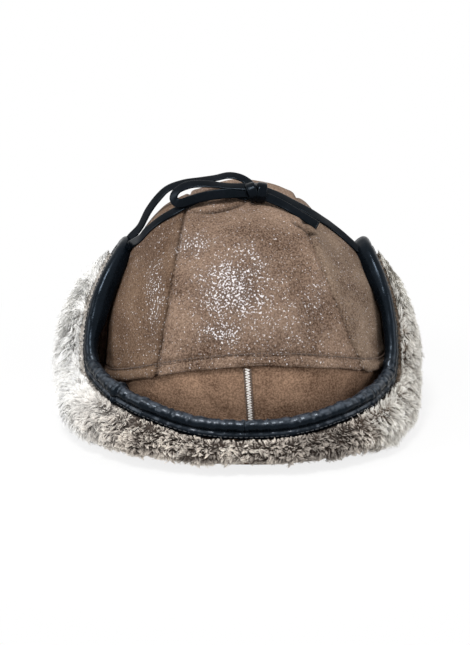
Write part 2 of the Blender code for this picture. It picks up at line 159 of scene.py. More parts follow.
def turns(count: int) -> Array:
    """Angles of a full turn in even steps."""
    return FULL_TURN * np.arange(count) / count


def travel(line: Array) -> Array:
    """Distances along a line, one for each of its points."""
    return np.concatenate(([0.0], np.cumsum(np.linalg.norm(np.diff(line, axis=0), axis=1))))


def lumps(points: Array, size: float, seed: int) -> Array:
    """Smooth random swells over space.

    Args:
        points: Points along the last axis.
        size: Distance over which the swells change.
        seed: Number that picks one pattern of swells.

    Returns:
        Values from -1 to 1, one for each point.
    """
    place = points / size
    cell = np.floor(place).astype(np.int64)
    part = place - cell
    part = part * part * (3.0 - 2.0 * part)
    total = np.zeros(points.shape[:-1])
    for corner in product((0, 1), repeat=3):
        mixed = np.bitwise_xor.reduce((cell + np.array(corner)) * CELL_PRIMES, axis=-1)
        mixed = (mixed + seed * SEED_PRIME) & LOW_BITS
        mixed = ((mixed ^ (mixed >> 13)) * MIXING_PRIME) & LOW_BITS
        mixed = (mixed ^ (mixed >> 16)) & LOWEST_BITS
        weight = np.prod(np.where(np.array(corner) == 1, part, 1.0 - part), axis=-1)
        total += weight * (2.0 * mixed / LOWEST_BITS - 1.0)
    return total


def layered(points: Array, layers: Layers) -> Array:
    """The sum of random swells over space, each given by its height, size and seed."""
    return sum(height * lumps(points, size, seed) for height, size, seed in layers)


def smooth_route(route: Sequence[Point], spacing: float) -> Array:
    """Points along a smooth curve through a route, about evenly spaced.

    Args:
        route: Points that the curve passes through.
        spacing: Distance between the points returned.

    Returns:
        Points along the curve.
    """
    knots = np.array(route)
    ends = np.vstack((2 * knots[0] - knots[1], knots, 2 * knots[-1] - knots[-2]))
    points = []
    for a, b, c, d in zip(ends, ends[1:], ends[2:], ends[3:]):
        steps = max(1, round(float(np.linalg.norm(c - b)) / spacing))
        for t in np.arange(steps) / steps:
            bend = (2 * a - 5 * b + 4 * c - d) * t * t + (3 * b - a - 3 * c + d) * t ** 3
            points.append((2 * b + (c - a) * t + bend) / 2)
    return np.array(points + [knots[-1]])


# Meshes from arrays


def grid_quads(columns: int, rows: int, wrap_columns: bool = False, wrap_rows: bool = False) -> Array:
    """Faces of a grid whose point (i, j) has the number i * rows + j.

    Args:
        columns: Number of points along the first axis.
        rows: Number of points along the second axis.
        wrap_columns: Whether the last column joins the first.
        wrap_rows: Whether the last row joins the first.

    Returns:
        Four point numbers for each face.
    """
    i = np.arange(columns if wrap_columns else columns - 1)[:, None]
    j = np.arange(rows if wrap_rows else rows - 1)[None, :]
    next_i = (i + 1) % columns
    next_j = (j + 1) % rows
    corners = (i * rows + j, next_i * rows + j, next_i * rows + next_j, i * rows + next_j)
    return np.stack(np.broadcast_arrays(*corners), axis=-1).reshape(-1, 4)


def grid_normals(points: Array, outward: Array) -> Array:
    """Unit normals of a grid of points, columns by rows, that agree with directions outward."""
    normals = unit(np.cross(np.gradient(points, axis=0), np.gradient(points, axis=1)))
    return normals * np.where(np.sum(normals * outward, axis=-1, keepdims=True) < 0.0, -1.0, 1.0)


def add_object(name: str, data: bpy.types.ID) -> Piece:
    """An object in the scene.

    Args:
        name: Its name.
        data: Its mesh, light or camera.

    Returns:
        The object.
    """
    made = bpy.data.objects.new(name, data)
    bpy.context.scene.collection.objects.link(made)
    return made


def mesh_object(mesh: bpy.types.Mesh) -> Piece:
    """A smooth object that stores its points' places at rest, which the finishes are drawn on.

    Args:
        mesh: Its mesh, which has its name.

    Returns:
        The object.
    """
    mesh.shade_smooth()
    places = np.zeros(len(mesh.vertices) * 3, np.float32)
    mesh.vertices.foreach_get("co", places)
    mesh.attributes.new(REST, "FLOAT_VECTOR", "POINT").data.foreach_set("vector", places)
    return add_object(mesh.name, mesh)


def make_object(
    name: str, points: Array, quads: Array, caps: Sequence[Sequence[int]] = (), closed: bool = False,
) -> Piece:
    """An object from points and faces.

    Args:
        name: Name of the piece.
        points: Its points.
        quads: Its four-sided faces.
        caps: Its other faces.
        closed: Whether its faces are all turned outwards.

    Returns:
        The object.
    """
    mesh = bpy.data.meshes.new(name)
    faces = np.asarray(quads).tolist() + [list(cap) for cap in caps]
    mesh.from_pydata(np.asarray(points, float).reshape(-1, 3).tolist(), [], faces)
    mesh.update()
    piece = mesh_object(mesh)
    if closed:
        shape = bmesh.new()
        shape.from_mesh(mesh)
        bmesh.ops.recalc_face_normals(shape, faces=shape.faces)
        shape.to_mesh(mesh)
        shape.free()
    return piece


def store_tint(piece: Piece, colours: Array) -> None:
    """Stores colours in a mesh, one for each of its points."""
    rows = np.column_stack((colours, np.ones(len(colours)))).astype(np.float32)
    piece.data.attributes.new(TINT, "FLOAT_COLOR", "POINT").data.foreach_set("color", rows.ravel())


def swept_object(name: str, sections: Array) -> Piece:
    """A closed object through closed sections.

    Args:
        name: Name of the piece.
        sections: Grid of points, section by section.

    Returns:
        The object.
    """
    columns, rows = sections.shape[:2]
    last = (columns - 1) * rows
    caps = (range(rows), range(last + rows - 1, last - 1, -1))
    return make_object(name, sections, grid_quads(columns, rows, wrap_rows=True), caps, closed=True)


def thicken(piece: Piece, thickness: float, offset: float) -> None:
    """Gives a surface a thickness, behind it for an offset of -1 and before it for one of 1."""
    solid = piece.modifiers.new("thickness", "SOLIDIFY")
    solid.thickness, solid.offset = thickness, offset


def sheet_object(name: str, points: Array, facing: Array, thickness: float) -> Piece:
    """A sheet on a grid of points, which grows behind its face.

    Args:
        name: Name of the piece.
        points: Grid of points, columns by rows.
        facing: Direction that the face looks in, one for all points or one for each.
        thickness: The sheet's thickness.

    Returns:
        The object.
    """
    piece = make_object(name, points, grid_quads(*points.shape[:2]))
    middle = len(piece.data.vertices) // 2
    direction = np.broadcast_to(facing, points.shape).reshape(-1, 3)[middle]
    if piece.data.vertices[middle].normal.dot(Vector(direction)) < 0.0:
        piece.data.flip_normals()
    thicken(piece, thickness, -1.0)
    return piece


# Shape of the hat


@dataclass(frozen=True)
class HatShape:
    """Sizes of the hat that its pieces share, and the surfaces that follow from them.

    Pairs are given as (left, right) for the sides and as (brow, neck) for the ends.
    """

    middle: Pair = (0.005, 0.001)
    half_width: float = 0.092
    half_length: float = 0.106
    shoulder: float = 0.038
    top: float = 0.150
    squareness: float = 2.35
    leather: float = 0.0020
    hem_sides: Pair = (0.030, 0.030)
    hem_ends: Pair = (0.057, 0.042)
    hem_tilt: float = 0.004
    groove_y: float = -0.029
    groove_depth: float = 0.005
    groove_width: float = 0.012
    groove_half_length: float = 0.055
    drop_x: float = 0.055
    drop_width: float = 0.017
    drop_half_length: float = 0.050
    drops: Pair = (-0.0040, 0.0072)
    drop_fade: float = 0.050

    def placed(self, x: Array, y: Array, z: Array) -> Array:
        """Points of the frame, from distances right and neckward of the crown's middle and heights."""
        x, y, z = np.broadcast_arrays(x + self.middle[0], y + self.middle[1], z)
        return np.stack((x, y, z), axis=-1)

    def oval(self, angle: Array) -> tuple[Array, Array]:
        """The x and the y of points of the squarish unit oval, at angles from +X."""
        x, y = np.cos(angle), np.sin(angle)
        return tuple(np.sign(part) * np.abs(part) ** (2.0 / self.squareness) for part in (x, y))

    def mix(self, x: Array, y: Array, sides: Pair, ends: Pair) -> Array:
        """A value at points of the unit oval, between that of their side and that of their end."""
        across = np.abs(x) ** self.squareness
        return across * np.where(x < 0, *sides) + (1.0 - across) * np.where(y < 0, *ends)

    def crown_share(self, height: Array, inset: float = 0.0) -> Array:
        """How much of the crown's plan is left at a height: 1 on the wall, 0 at the top."""
        rise = np.maximum(height - self.shoulder, 0.0) / (self.top - inset - self.shoulder)
        return np.sqrt(np.maximum(1.0 - rise * rise, 0.0))

    def hem(self, angle: Array) -> Array:
        """Height of the crown's hem at angles round the hat."""
        x, y = self.oval(angle)
        return self.mix(x, y, self.hem_sides, self.hem_ends) + self.hem_tilt * x

    def dents(self, x: Array, y: Array) -> Array:
        """How far the crown lies below the round dome.

        Args:
            x: Distances to the right of the crown's middle.
            y: Distances from it to the neck.

        Returns:
            Depths under the bow and at the shoulders.
        """
        across = bell(y, self.groove_y, self.groove_width)
        groove = self.groove_depth * across * np.exp(-(x / self.groove_half_length) ** 4)
        shoulder = bell(np.abs(x), self.drop_x, self.drop_width)
        shoulder = shoulder * np.exp(-(y / self.drop_half_length) ** 4)
        return groove + shoulder * np.where(x < 0, *self.drops)

    def dome(self, angle: Array, height: Array, inset: float) -> Array:
        """Points of the crown's dome.

        Args:
            angle: Angles round the hat.
            height: Heights on the round dome.
            inset: Distance inside the crown's outside.

        Returns:
            Points of the frame.
        """
        x, y = self.oval(angle)
        share = self.crown_share(height, inset)
        x = x * (self.half_width - inset) * share
        y = y * (self.half_length - inset) * share
        fade = np.clip((height - self.shoulder) / self.drop_fade, 0.0, 1.0) ** 2
        return self.placed(x, y, height - fade * self.dents(x, y))

    def crown_normal(self, points: Array) -> Array:
        """Directions square to the round dome.

        Args:
            points: Points near it.

        Returns:
            One direction for each point.
        """
        half_sizes = np.array((self.half_width, self.half_length, self.top - self.shoulder))
        centre = np.array((*self.middle, self.shoulder))
        return unit((points - centre) / half_sizes ** 2)


@dataclass(frozen=True)
class BandShape:
    """Sizes of the turned-up band, in pairs as those of the hat are."""

    hat: HatShape
    standoff_sides: Pair = (0.012, 0.005)
    standoff_ends: Pair = (0.012, 0.010)
    tip_standoff: float = 0.0055
    edge_sides: Pair = (0.051, 0.043)
    edge_ends: Pair = (0.025, 0.040)
    ear_tip: float = 0.108
    ear_half_length: float = 0.062
    ear_fullness: float = 0.75
    end_half_width: float = 0.050
    fur_sides: Pair = (0.021, 0.018)
    fur_ends: Pair = (0.019, 0.019)
    fur_inside: float = 0.0024
    flange: float = 0.0055
    flange_gap: float = 0.0012
    roll_radius: float = 0.0042


@dataclass
class Stations:
    """Vertical planes through a stretch of the band, each a start point and a direction outwards."""

    band: BandShape
    start: Array
    direction: Array
    across: Array = field(init=False)
    standoff: Array = field(init=False)
    fur: Array = field(init=False)
    edge: Array = field(init=False)

    def __post_init__(self) -> None:
        """Works out the band's sizes at each station."""
        band, hat = self.band, self.band.hat
        base = self.reach(hat.half_width, hat.half_length)
        x, y = base[:, 0] / hat.half_width, base[:, 1] / hat.half_length
        self.across = np.abs(x) ** hat.squareness
        self.standoff = hat.mix(x, y, band.standoff_sides, band.standoff_ends)
        self.fur = hat.mix(x, y, band.fur_sides, band.fur_ends)
        low = hat.mix(x, y, band.edge_sides, band.edge_ends)
        off_middle = np.minimum(np.abs(base[:, 1]) / band.ear_half_length, 1.0)
        swell = (1.0 + np.cos(math.pi * off_middle)) / 2
        self.edge = low + (band.ear_tip - low) * swell ** band.ear_fullness

    def reach(self, half_width: Array | float, half_length: Array | float) -> Array:
        """Where each station's line leaves a squarish oval.

        Args:
            half_width: The oval's half width, the same or one for each station.
            half_length: Its half length.

        Returns:
            Points in plan about the crown's middle.
        """
        power = self.band.hat.squareness
        near = np.zeros(len(self.start))
        far = 2.0 * (half_width + half_length)
        for _ in range(HALVINGS):
            middle = (near + far) / 2
            point = self.start + self.direction * middle[:, None]
            across = np.abs(point[:, 0] / half_width) ** power
            inside = across + np.abs(point[:, 1] / half_length) ** power < 1.0
            near = np.where(inside, middle, near)
            far = np.where(inside, far, middle)
        return self.start + self.direction * near[:, None]

    def points(self, height: Array, outside: Array) -> Array:
        """Points of the band.

        Args:
            height: Heights, one for each station.
            outside: Distances outside the band's inner face.

        Returns:
            Points of the frame.
        """
        hat = self.band.hat
        share = hat.crown_share(height)
        extra = self.standoff_at(height) + outside
        place = self.reach(hat.half_width * share + extra, hat.half_length * share + extra)
        return hat.placed(place[:, 0], place[:, 1], height)

    def standoff_at(self, height: Array) -> Array:
        """Distances from the crown to the band's inner face at heights, one for each station."""
        rise = np.clip(height / self.band.ear_tip, 0.0, 1.0) ** 3
        return self.standoff + (self.band.tip_standoff - self.standoff) * rise * self.across

    def edge_frames(self) -> tuple[Array, Array, Array, Array]:
        """The band's free edge at each station.

        Returns:
            Its place, its run, the direction outwards and the direction off the edge.
        """
        middle = self.band.hat.leather / 2
        place = self.points(self.edge, middle)
        below = self.points(self.edge - self.band.flange - self.band.roll_radius, middle)
        run = unit(np.gradient(place, axis=0))
        outward = unit(np.cross(run, place - below))
        outside = np.column_stack((self.direction, np.zeros(len(self.direction))))
        outward *= np.sign(np.sum(outward * outside, axis=1))[:, None]
        off_edge = unit(np.cross(outward, run))
        off_edge *= np.sign(off_edge[:, 2])[:, None]
        return place, run, outward, off_edge

    def under_edge(self, distance: float) -> Array:
        """Heights that lie a distance from the free edge, square to it."""
        run = self.edge_frames()[1]
        return self.edge - distance / np.hypot(run[:, 0], run[:, 1])


def quarter_stations(band: BandShape, side: Side, end: End) -> tuple[Stations, int]:
    """Stations of a quarter of the band, from the ear flap's middle to the end flap's middle.

    One station more lies past each middle, so that directions there come out true.

    Args:
        band: The band's sizes.
        side: The ear flap's side.
        end: The end flap's end.

    Returns:
        The stations, and the number of the one in the middle of the corner.
    """
    ear_steps, corner_steps, end_steps = 76, 116, 70
    s, e = side.value, end.value
    ear = e * band.ear_half_length * np.arange(-1, ear_steps) / ear_steps
    angles = QUARTER_TURN * np.arange(corner_steps + 1) / corner_steps
    level = s * band.end_half_width * (1.0 - np.arange(1, end_steps + 2) / end_steps)
    corner = (s * band.end_half_width, e * band.ear_half_length)
    starts = np.vstack((
        np.column_stack((np.zeros_like(ear), ear)),
        np.tile(corner, (len(angles), 1)),
        np.column_stack((level, np.zeros_like(level))),
    ))
    directions = np.vstack((
        np.tile((s, 0.0), (len(ear), 1)),
        np.column_stack((s * np.cos(angles), e * np.sin(angles))),
        np.tile((0.0, e), (len(level), 1)),
    ))
    return Stations(band, starts, directions), len(ear) + corner_steps // 2


# Finishes


class NodeBoard:
    """Adds linked nodes to one node tree."""

    def __init__(self, tree: Tree) -> None:
        """Starts on a tree."""
        self.tree = tree

    def feed(self, node: Node, inputs: dict) -> None:
        """Sets inputs of a node.

        Args:
            node: The node.
            inputs: Values or sockets, by the input's name or number.
        """
        for key, value in inputs.items():
            if isinstance(value, Socket):
                self.tree.links.new(value, node.inputs[key])
            else:
                node.inputs[key].default_value = value

    def add(self, kind: str, inputs: dict | None = None, **settings: object) -> Node:
        """A new shader node.

        Args:
            kind: The node's type, without the words that all of them start with.
            inputs: Values or sockets for its inputs.
            settings: Its other settings.

        Returns:
            The node.
        """
        node = self.tree.nodes.new("ShaderNode" + kind)
        for name, value in settings.items():
            setattr(node, name, value)
        self.feed(node, inputs or {})
        return node

    def number(self, operation: str, first: Value, second: Value) -> Socket:
        """The outcome of a sum on two numbers."""
        return self.add("Math", {0: first, 1: second}, operation=operation).outputs[0]

    def times(self, first: Value, second: Value) -> Socket:
        """The product of two numbers."""
        return self.number("MULTIPLY", first, second)

    def step(self, value: Value, low: float, high: float, start: float = 0.0, stop: float = 1.0) -> Socket:
        """A smooth step from start, where the value is low, to stop, where it is high."""
        inputs = {"Value": value, "From Min": low, "From Max": high, "To Min": start, "To Max": stop}
        return self.add("MapRange", inputs, interpolation_type="SMOOTHSTEP").outputs["Result"]

    def tint(self, share: Value, first: Tone, second: Tone, way: str = "MIX") -> Socket:
        """A mix of two colours, the first where the share is 0 and the second where it is 1."""
        a, b = (tone if isinstance(tone, Socket) else (*tone, 1.0) for tone in (first, second))
        return self.add("Mix", {0: share, 6: a, 7: b}, data_type="RGBA", blend_type=way).outputs[2]

    def noise(self, place: Socket, scale: Value, detail: float, roughness: float = 0.5) -> Socket:
        """Cloudy noise at a place, with so many swells in a metre and so many finer layers."""
        inputs = {"Vector": place, "Scale": scale, "Detail": detail, "Roughness": roughness}
        return self.add("TexNoise", inputs).outputs["Fac"]

    def height(self, vector: Socket) -> Socket:
        """The upward part of a vector."""
        return self.add("SeparateXYZ", {0: vector}).outputs["Z"]

    def relief(self, height: Socket, distance: float, strength: float = 1.0) -> Socket:
        """Normals of a relief of that height."""
        inputs = {"Height": height, "Distance": distance, "Strength": strength}
        return self.add("Bump", inputs).outputs["Normal"]

    def seen(self) -> Socket:
        """1 for rays from the camera, a reflection or a clear piece, and 0 for rays of light.

        Returns:
            The outcome's socket.
        """
        rays = self.add("LightPath").outputs
        seen = self.number("MAXIMUM", rays["Is Camera Ray"], rays["Is Glossy Ray"])
        return self.number("MAXIMUM", seen, rays["Is Transmission Ray"])


def new_group(name: str, inputs: dict[str, str], outputs: dict[str, str]) -> tuple:
    """An empty shader node group.

    Args:
        name: The group's name.
        inputs: Socket types of its inputs, by name.
        outputs: Socket types of its outputs, by name.

    Returns:
        A board on the group, the sockets of its inputs and its output node.
    """
    tree = bpy.data.node_groups.new(name, "ShaderNodeTree")
    for way, sockets in (("INPUT", inputs), ("OUTPUT", outputs)):
        for socket, kind in sockets.items():
            tree.interface.new_socket(socket, in_out=way, socket_type=kind)
    given = tree.nodes.new("NodeGroupInput")
    return NodeBoard(tree), given.outputs, tree.nodes.new("NodeGroupOutput")


VECTOR, FLOAT, COLOUR = "NodeSocketVector", "NodeSocketFloat", "NodeSocketColor"


@cache
def grain_group() -> Tree:
    """Grain of leather: pebbles and creases.

    Returns:
        A group that puts out the height of the grain and its creases.
    """
    inputs = {"Place": VECTOR, "Scale": FLOAT, "Crease Scale": FLOAT, "Crease Depth": FLOAT}
    board, given, out = new_group("leather_grain", inputs, {"Height": FLOAT, "Creases": FLOAT})
    warp_scale, warp_detail, warp_reach, crease_width, pebble_height = 160.0, 2.0, 0.0035, 0.09, -0.5
    fine_detail, fine_roughness = 5.0, 0.7
    place, scale = given["Place"], given["Scale"]
    warp = board.add("TexNoise", {"Vector": place, "Scale": warp_scale, "Detail": warp_detail}).outputs
    bent = board.add("VectorMath", {0: warp["Color"], "Scale": warp_reach}, operation="SCALE").outputs[0]
    moved = board.add("VectorMath", {0: place, 1: bent}, operation="ADD").outputs[0]
    pebbles = board.add("TexVoronoi", {"Vector": moved, "Scale": scale}, feature="F1")
    lines = board.add(
        "TexVoronoi", {"Vector": moved, "Scale": given["Crease Scale"]}, feature="DISTANCE_TO_EDGE",
    )
    creases = board.step(lines.outputs["Distance"], 0.0, crease_width, 1.0, 0.0)
    creases = board.times(creases, given["Crease Depth"])
    rounded = board.times(pebbles.outputs["Distance"], pebble_height)
    height = board.number("ADD", rounded, board.noise(place, scale, fine_detail, fine_roughness))
    board.feed(out, {"Height": board.number("SUBTRACT", height, creases), "Creases": creases})
    return board.tree


@cache
def mottle_group() -> Tree:
    """Uneven colour of a natural skin.

    Returns:
        A group that mixes a dark and a light colour in patches and specks, with their masks.
    """
    inputs = {"Place": VECTOR, "Patch Scale": FLOAT, "Speck Scale": FLOAT, "Dark": COLOUR, "Light": COLOUR}
    outputs = {"Colour": COLOUR, "Patches": FLOAT, "Specks": FLOAT}
    board, given, out = new_group("skin_mottle", inputs, outputs)
    patch_share, patch_detail, patch_edges = 0.45, 4.0, (0.30, 0.70)
    speck_share, speck_detail, speck_edges = 0.55, 3.0, (0.34, 0.66)
    patches = board.step(board.noise(given["Place"], given["Patch Scale"], patch_detail), *patch_edges)
    specks = board.step(board.noise(given["Place"], given["Speck Scale"], speck_detail), *speck_edges)
    share = board.number("ADD", board.times(patches, patch_share), board.times(specks, speck_share))
    colour = board.tint(share, given["Dark"], given["Light"])
    board.feed(out, {"Colour": colour, "Patches": patches, "Specks": specks})
    return board.tree


class Canvas(NodeBoard):
    """A new material with its shader, drawn on the places that its points have at rest."""

    def __init__(self, name: str) -> None:
        """Starts a material.

        Args:
            name: The material's name.
        """
        self.material = bpy.data.materials.new(name)
        self.material.use_nodes = True
        super().__init__(self.material.node_tree)
        self.place = self.add("Attribute", attribute_name=REST).outputs["Vector"]

    def stored_tint(self) -> Socket:
        """The colours that a mesh stores for its points."""
        return self.add("Attribute", attribute_name=TINT).outputs["Color"]

    def mottle(self, patch_scale: float, speck_scale: float, dark: Colour, light: Colour) -> Node:
        """The shared mottle.

        Args:
            patch_scale: Patches in a metre.
            speck_scale: Specks in a metre.
            dark: The dark colour.
            light: The light colour.

        Returns:
            The group's node.
        """
        inputs = {
            "Place": self.place, "Patch Scale": patch_scale, "Speck Scale": speck_scale,
            "Dark": (*dark, 1.0), "Light": (*light, 1.0),
        }
        return self.add("Group", inputs, node_tree=mottle_group())


@dataclass(frozen=True)
class Finish:
    """A finish of some pieces."""

    name: str

    def material(self) -> bpy.types.Material:
        """The finish as a material.

        Returns:
            The material.
        """
        canvas = Canvas(self.name)
        canvas.feed(canvas.tree.nodes["Principled BSDF"], self.look(canvas))
        return canvas.material

    def look(self, canvas: Canvas) -> dict[str, Value]:
        """What the shader's inputs get from this finish."""
        raise NotImplementedError


@dataclass(frozen=True)
class LeatherFinish(Finish):
    """A leather: colours, gloss and grain."""

    dark: Colour
    light: Colour
    roughness: Pair
    patch_scale: float
    speck_scale: float
    grain_scale: float
    bump: float
    specular: float
    specular_tint: Colour = (1.0, 1.0, 1.0)
    crease_scale: float = 150.0
    crease_depth: float = 0.0
    crease_tint: Colour = (0.5875, 0.571, 0.56)
    bump_strength: float = 0.9

    def look(self, canvas: Canvas) -> dict[str, Value]:
        """The leather's colour, gloss and relief.

        Args:
            canvas: The material.

        Returns:
            Values for the shader's inputs.
        """
        grain = canvas.add("Group", node_tree=grain_group(), inputs={
            "Place": canvas.place, "Scale": self.grain_scale,
            "Crease Scale": self.crease_scale, "Crease Depth": self.crease_depth,
        }).outputs
        mottle = canvas.mottle(self.patch_scale, self.speck_scale, self.dark, self.light).outputs
        colour = canvas.tint(grain["Creases"], mottle["Colour"], self.crease_tint, "MULTIPLY")
        gloss = canvas.step(mottle["Patches"], 0.0, 1.0, *self.roughness)
        return {
            "Base Color": colour, "Roughness": gloss,
            "Normal": canvas.relief(grain["Height"], self.bump, self.bump_strength),
            "Specular IOR Level": self.specular, "Specular Tint": (*self.specular_tint, 1.0),
            **self.wear_and_painted_light(canvas, colour, gloss),
        }

    def wear_and_painted_light(self, canvas: Canvas, colour: Socket, gloss: Socket) -> dict[str, Value]:
        """What wear and painted light change of the look, which is nothing on a plain leather."""
        return {}


@dataclass(frozen=True)
class CoatedLeatherWithPaintedSheenFinish(LeatherFinish):
    """The binding's leather, with a clear coat in streaks on the upper side of its low stretches, where a
    pale blue sheen is painted as a highlight.
    """

    painted_sheen: Colour = (0.030, 0.042, 0.060)
    low_heights: Pair = (0.034, 0.060)
    upper_side: Pair = (0.30, 0.92)
    streak_scale: float = 330.0
    streak_detail: float = 2.0
    streak_edges: Pair = (0.36, 0.64)
    least_streak: float = 0.3
    coat_roughness: float = 0.34

    def wear_and_painted_light(self, canvas: Canvas, colour: Socket, gloss: Socket) -> dict[str, Value]:
        """The clear coat, and the pale blue sheen painted under it as a highlight.

        Args:
            canvas: The material.
            colour: The leather's colour.
            gloss: Its roughness; not used.

        Returns:
            Values for the shader's inputs.
        """
        low = canvas.step(canvas.height(canvas.place), *self.low_heights, 1.0, 0.0)
        noise = canvas.noise(canvas.place, self.streak_scale, self.streak_detail)
        streaks = canvas.step(noise, *self.streak_edges, self.least_streak, 1.0)
        upper = canvas.step(canvas.height(canvas.add("NewGeometry").outputs["Normal"]), *self.upper_side)
        # painted highlight: the upward-facing side of the low roll is tinted pale blue where the coat lies
        coat_and_painted_sheen = canvas.times(canvas.times(low, streaks), upper)
        return {
            "Base Color": canvas.tint(coat_and_painted_sheen, colour, self.painted_sheen),
            "Coat Weight": coat_and_painted_sheen, "Coat Roughness": self.coat_roughness,
        }


@dataclass(frozen=True)
class WornLeatherWithPaintedLightFinish(LeatherFinish):
    """The crown's leather, rubbed to a shine in patches on the brow side, with pale flecks painted there as
    glints.
    """

    painted_glint: Colour = (0.72, 0.69, 0.70)
    fleck_scale: float = 900.0
    fleck_detail: float = 1.0
    fleck_edges: Pair = (0.66, 0.80)
    fleck_gain: float = 0.18
    burnish: Colour = (0.080, 0.055, 0.044)
    burnish_share: float = 0.62
    painted_glint_roughness: float = 0.42
    ragged_scale: float = 75.0
    ragged_detail: float = 5.0
    ragged_roughness: float = 0.65
    ragged: float = 2.2
    worn_all_over: float = 0.40
    worn_edges: Pair = (0.10, 0.60)
    patch_edges: Pair = (0.10, 1.30)
    patches: tuple[tuple[Point, Point, float], ...] = (
        ((-0.0010, -0.0860, 0.1005), (0.026, 0.050, 0.024), 1.0),
        ((-0.0070, -0.0985, 0.0755), (0.015, 0.040, 0.012), 0.9),
        ((-0.0280, -0.0620, 0.1212), (0.013, 0.030, 0.009), 0.7),
        ((-0.0500, -0.0720, 0.0950), (0.007, 0.040, 0.036), 0.5),
        ((0.0260, -0.0930, 0.0820), (0.036, 0.040, 0.026), 0.3),
        ((0.0490, -0.0800, 0.0947), (0.006, 0.030, 0.020), 0.4),
    )

    def wear_and_painted_light(self, canvas: Canvas, colour: Socket, gloss: Socket) -> dict[str, Value]:
        """The rubbed patches with their pale flecks, partly scuffs and partly painted glints, and the stored
        painted shade of seams and folds.

        Args:
            canvas: The material.
            colour: The leather's colour.
            gloss: Its roughness.

        Returns:
            Values for the shader's inputs.
        """
        rubbed = self.rubbed(canvas)
        noise = canvas.noise(canvas.place, self.fleck_scale, self.fleck_detail)
        noise = canvas.number("ADD", noise, canvas.times(rubbed, self.fleck_gain))
        # pale flecks painted as glints, denser in the rubbed patches; partly scuffs of wear
        glint_flecks = canvas.step(noise, *self.fleck_edges)
        burnished = canvas.tint(canvas.times(rubbed, self.burnish_share), colour, self.burnish)
        glinted = canvas.tint(glint_flecks, burnished, self.painted_glint)
        gloss_gap = canvas.number("SUBTRACT", gloss, self.painted_glint_roughness)
        return {
            "Base Color": canvas.tint(1.0, glinted, canvas.stored_tint(), "MULTIPLY"),
            "Roughness": canvas.number("SUBTRACT", gloss, canvas.times(rubbed, gloss_gap)),
        }

    def rubbed(self, canvas: Canvas) -> Socket:
        """Mask of the rubbed patches.

        Args:
            canvas: The material.

        Returns:
            The mask's socket.
        """
        noise = canvas.noise(canvas.place, self.ragged_scale, self.ragged_detail, self.ragged_roughness)
        uneven = canvas.times(canvas.number("SUBTRACT", noise, 0.5), self.ragged)
        mask = canvas.step(uneven, *self.worn_edges, 0.0, self.worn_all_over)
        for middle, size, strength in self.patches:
            offset = canvas.add("VectorMath", {0: canvas.place, 1: middle}, operation="SUBTRACT")
            scaled = canvas.add("VectorMath", {0: offset.outputs[0], 1: size}, operation="DIVIDE")
            far = canvas.add("VectorMath", {0: scaled.outputs[0]}, operation="LENGTH").outputs["Value"]
            patch = canvas.step(canvas.number("SUBTRACT", far, uneven), *self.patch_edges, strength, 0.0)
            mask = canvas.number("MAXIMUM", mask, patch)
        return mask


@dataclass(frozen=True)
class PileFinish(Finish):
    """Wool or fur seen as a surface: tangled colour and relief."""

    dark: Colour
    light: Colour
    curl_scale: float
    bump: float
    tinted: bool = False
    curls_in_a_patch: float = 6.0
    roughness: float = 0.95
    specular: float = 0.1
    sheen: float = 0.05

    def look(self, canvas: Canvas) -> dict[str, Value]:
        """The pile's colour and relief.

        Args:
            canvas: The material.

        Returns:
            Values for the shader's inputs.
        """
        patch_scale = self.curl_scale / self.curls_in_a_patch
        mottle = canvas.mottle(patch_scale, self.curl_scale, self.dark, self.light).outputs
        colour = mottle["Colour"]
        if self.tinted:
            colour = canvas.tint(1.0, canvas.stored_tint(), colour, "MULTIPLY")
        return {
            "Base Color": colour, "Normal": canvas.relief(mottle["Specks"], self.bump),
            "Roughness": self.roughness, "Specular IOR Level": self.specular, "Sheen Weight": self.sheen,
        }


@dataclass(frozen=True)
class HairFinish(Finish):
    """Single hairs, whose colour runs from root to tip."""

    uneven_scale: float = 90.0
    uneven_detail: float = 3.0
    uneven_edges: Pair = (0.3, 0.7)
    greys: Pair = (0.86, 1.08)
    roughness: float = 0.62
    specular: float = 0.08

    def look(self, canvas: Canvas) -> dict[str, Value]:
        """The hairs' stored colour, a little uneven.

        Args:
            canvas: The material.

        Returns:
            Values for the shader's inputs.
        """
        noise = canvas.noise(canvas.place, self.uneven_scale, self.uneven_detail)
        grey = canvas.step(noise, *self.uneven_edges, *self.greys)
        return {
            "Base Color": canvas.tint(1.0, canvas.stored_tint(), grey, "MULTIPLY"),
            "Roughness": self.roughness, "Specular IOR Level": self.specular,
        }


@dataclass(frozen=True)
class ThreadFinish(Finish):
    """Sewing thread, with its twist."""

    dark: Colour
    light: Colour
    strand_scale: float = 1400.0
    strand_detail: float = 2.0
    strand_edges: Pair = (0.35, 0.65)
    bump: float = 0.0002
    roughness: float = 0.6

    def look(self, canvas: Canvas) -> dict[str, Value]:
        """The thread's colour and relief.

        Args:
            canvas: The material.

        Returns:
            Values for the shader's inputs.
        """
        strands = canvas.noise(canvas.place, self.strand_scale, self.strand_detail)
        return {
            "Base Color": canvas.tint(canvas.step(strands, *self.strand_edges), self.dark, self.light),
            "Normal": canvas.relief(strands, self.bump), "Roughness": self.roughness,
        }


